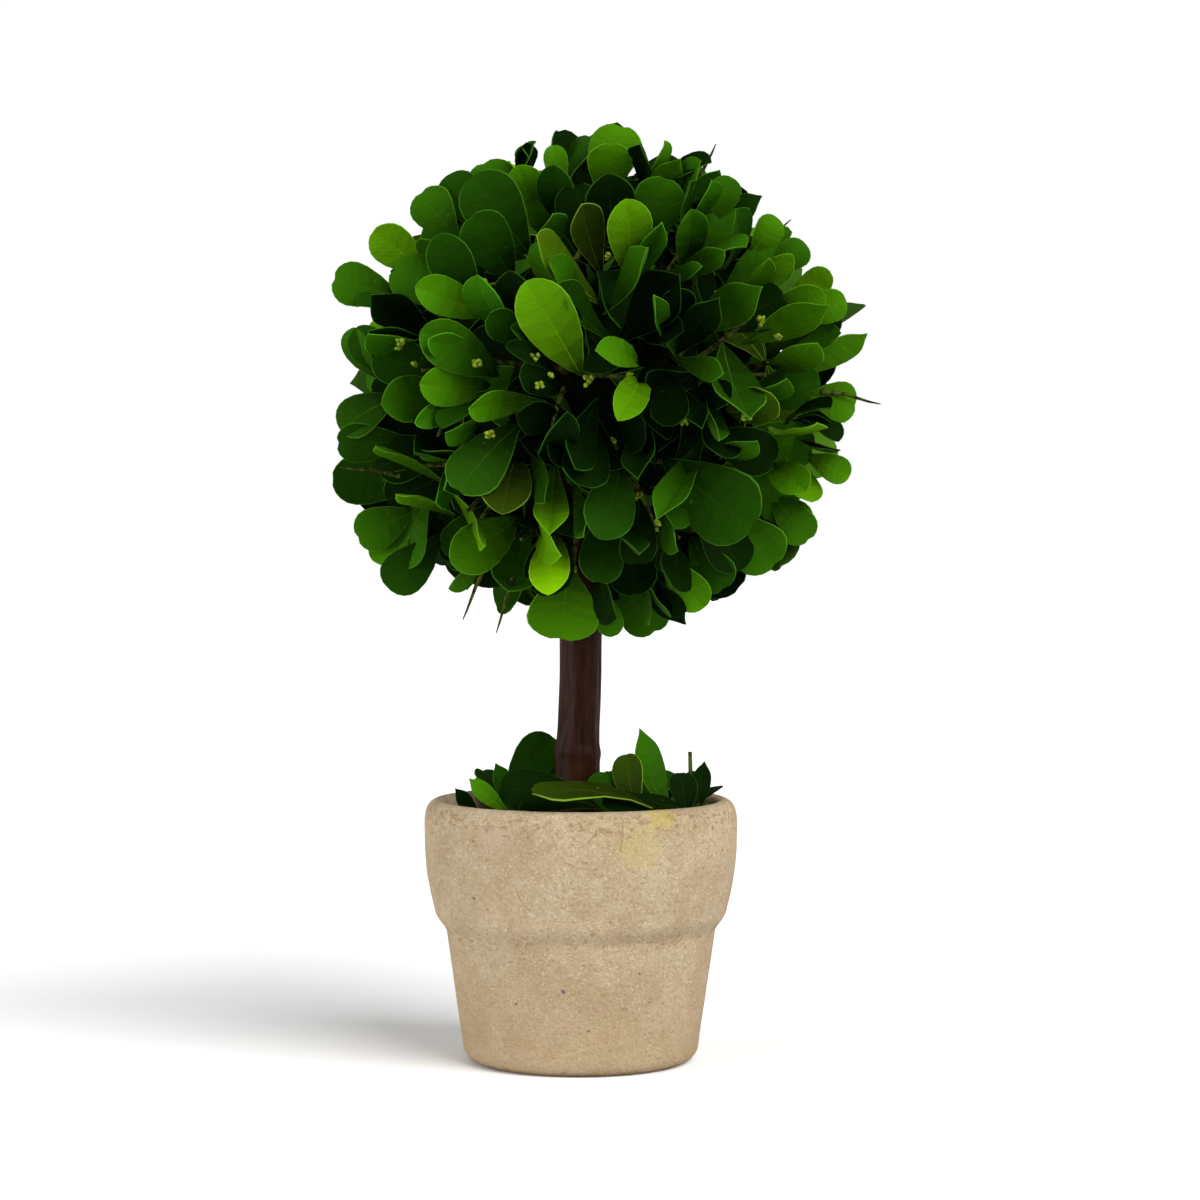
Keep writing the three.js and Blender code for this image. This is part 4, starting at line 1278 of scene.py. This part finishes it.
heap_nodes = sorted(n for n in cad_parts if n.startswith("pot_leaves_"))
laid = []
for start, tip, facing, width, pattern, tint in POT_LEAVES:
    laid.append(laid_leaf(Vector(start) * MM, Vector(tip) * MM, Vector(facing), width * MM, 0, pattern, tint))
draw = random.Random(7)
for i in range(BACK_LEAVES):
    a = math.radians(8 + 155 * (i + draw.uniform(0.1, 0.9)) / BACK_LEAVES)
    out = Vector((math.cos(a), math.sin(a), 0))
    along = Vector((-out.y, out.x, 0)) * draw.choice((-1, 1))
    start = out * draw.uniform(13, 20) * MM + Vector((0, 0, PLUG_HIGH.z + draw.uniform(1, 4) * MM))
    length = draw.uniform(14, 20) * MM
    rise = draw.choice((0.1, 0.2, 0.3, 0.5))
    ahead = out * draw.uniform(0.2, 0.7) + along * draw.uniform(0.1, 0.8) + Vector((0, 0, rise))
    ahead.normalize()
    facing = Vector((0, 0, 1)) - out * draw.uniform(0.0, 0.6)
    tint = draw.choice((DEEP, DARK, DARK, DEEP_MID, MID))
    width = length * draw.uniform(0.5, 0.62)
    tip = start + ahead * length
    flat = math.hypot(tip.x, tip.y)
    if flat > MOUTH_RADIUS and tip.z < POT_HEIGHT + RIM_CLEARANCE:
        tip.z = POT_HEIGHT + RIM_CLEARANCE
    laid.append(laid_leaf(start, tip, facing, width, 0, draw.choice((0, 1, 4, 5)), tint))
loose = deal("loose_leaves", laid, leaf_dealing, leaf_patterns, 90)
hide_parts(*heap_nodes)
stalk = [Vector(p) * MM for p in ((26.3, -5, 59), (26.2, -4, 64), (26.6, -3, 70), (26.5, -2, 75))]
loose_stalk = shoot_piece("loose_stalk", [stalk], stem_skin, 0.8, 0.6)
for piece in (loose, loose_stalk):
    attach(piece, "root")

# ---- The table, the light and the camera -----------------------------------------------------------------
# A plain white table under soft studio light: a bright room, a large lamp far off at the front right, which
# throws one soft shadow to the back left, and another low at the left, which fills the ball's shaded side.

TABLE_RADIUS = 4.0
TABLE_TOP = -0.05 * MM
TABLE_UNDERSIDE = -1 * MM
edge = [(TABLE_RADIUS, TABLE_UNDERSIDE), (TABLE_RADIUS, TABLE_TOP)]
table = turned("table", [(0, TABLE_UNDERSIDE)] + edge + [(0, TABLE_TOP)], 64)
table.data.shade_flat()
table.data.materials.append(new_material("white_table", "#F6F6F6", 1.0, 0.0)[0])

ROOM_LIGHT = 0.4  # of the backdrop's white, which the lens alone sees at its full brightness

world = bpy.data.worlds.new("bright_room")
world.use_nodes = True
room = world.node_tree
background = room.nodes["Background"]
background.inputs["Color"].default_value = (1.0, 1.0, 1.0, 1.0)
seen = add(room, "ShaderNodeLightPath").outputs["Is Camera Ray"]
brightness = add(room, "ShaderNodeMapRange", {"Value": seen, "To Min": ROOM_LIGHT, "To Max": 1.0})
feed(room, background, {"Strength": brightness})
bpy.context.scene.world = world


def far_lamp(name, place, strength, spread):
    """A far-off round lamp that shines from this way on the plant."""
    light = bpy.data.lights.new(name, "SUN")
    light.energy = strength
    light.angle = math.radians(spread)
    piece_from(name, light).rotation_euler = Vector(place).to_track_quat("Z", "Y").to_euler()


far_lamp("key_lamp", (0.6, -0.6, 0.58), 4.15, 52)
far_lamp("fill_lamp", (-0.94, -0.36, 0.08), 3.8, 45)

CAMERA_PLACE = (4.7 * MM, -0.8, 138.3 * MM)
CAMERA_TILT = 1.9  # degrees down

camera_data = bpy.data.cameras.new("camera")
camera_data.lens = 99
camera_data.sensor_width = 36
camera_data.clip_start = 0.01
camera = piece_from("camera", camera_data)
camera.location = CAMERA_PLACE
camera.rotation_euler = (math.radians(90 - CAMERA_TILT), 0, 0)
bpy.context.scene.camera = camera
bpy.context.scene.view_settings.view_transform = "Standard"
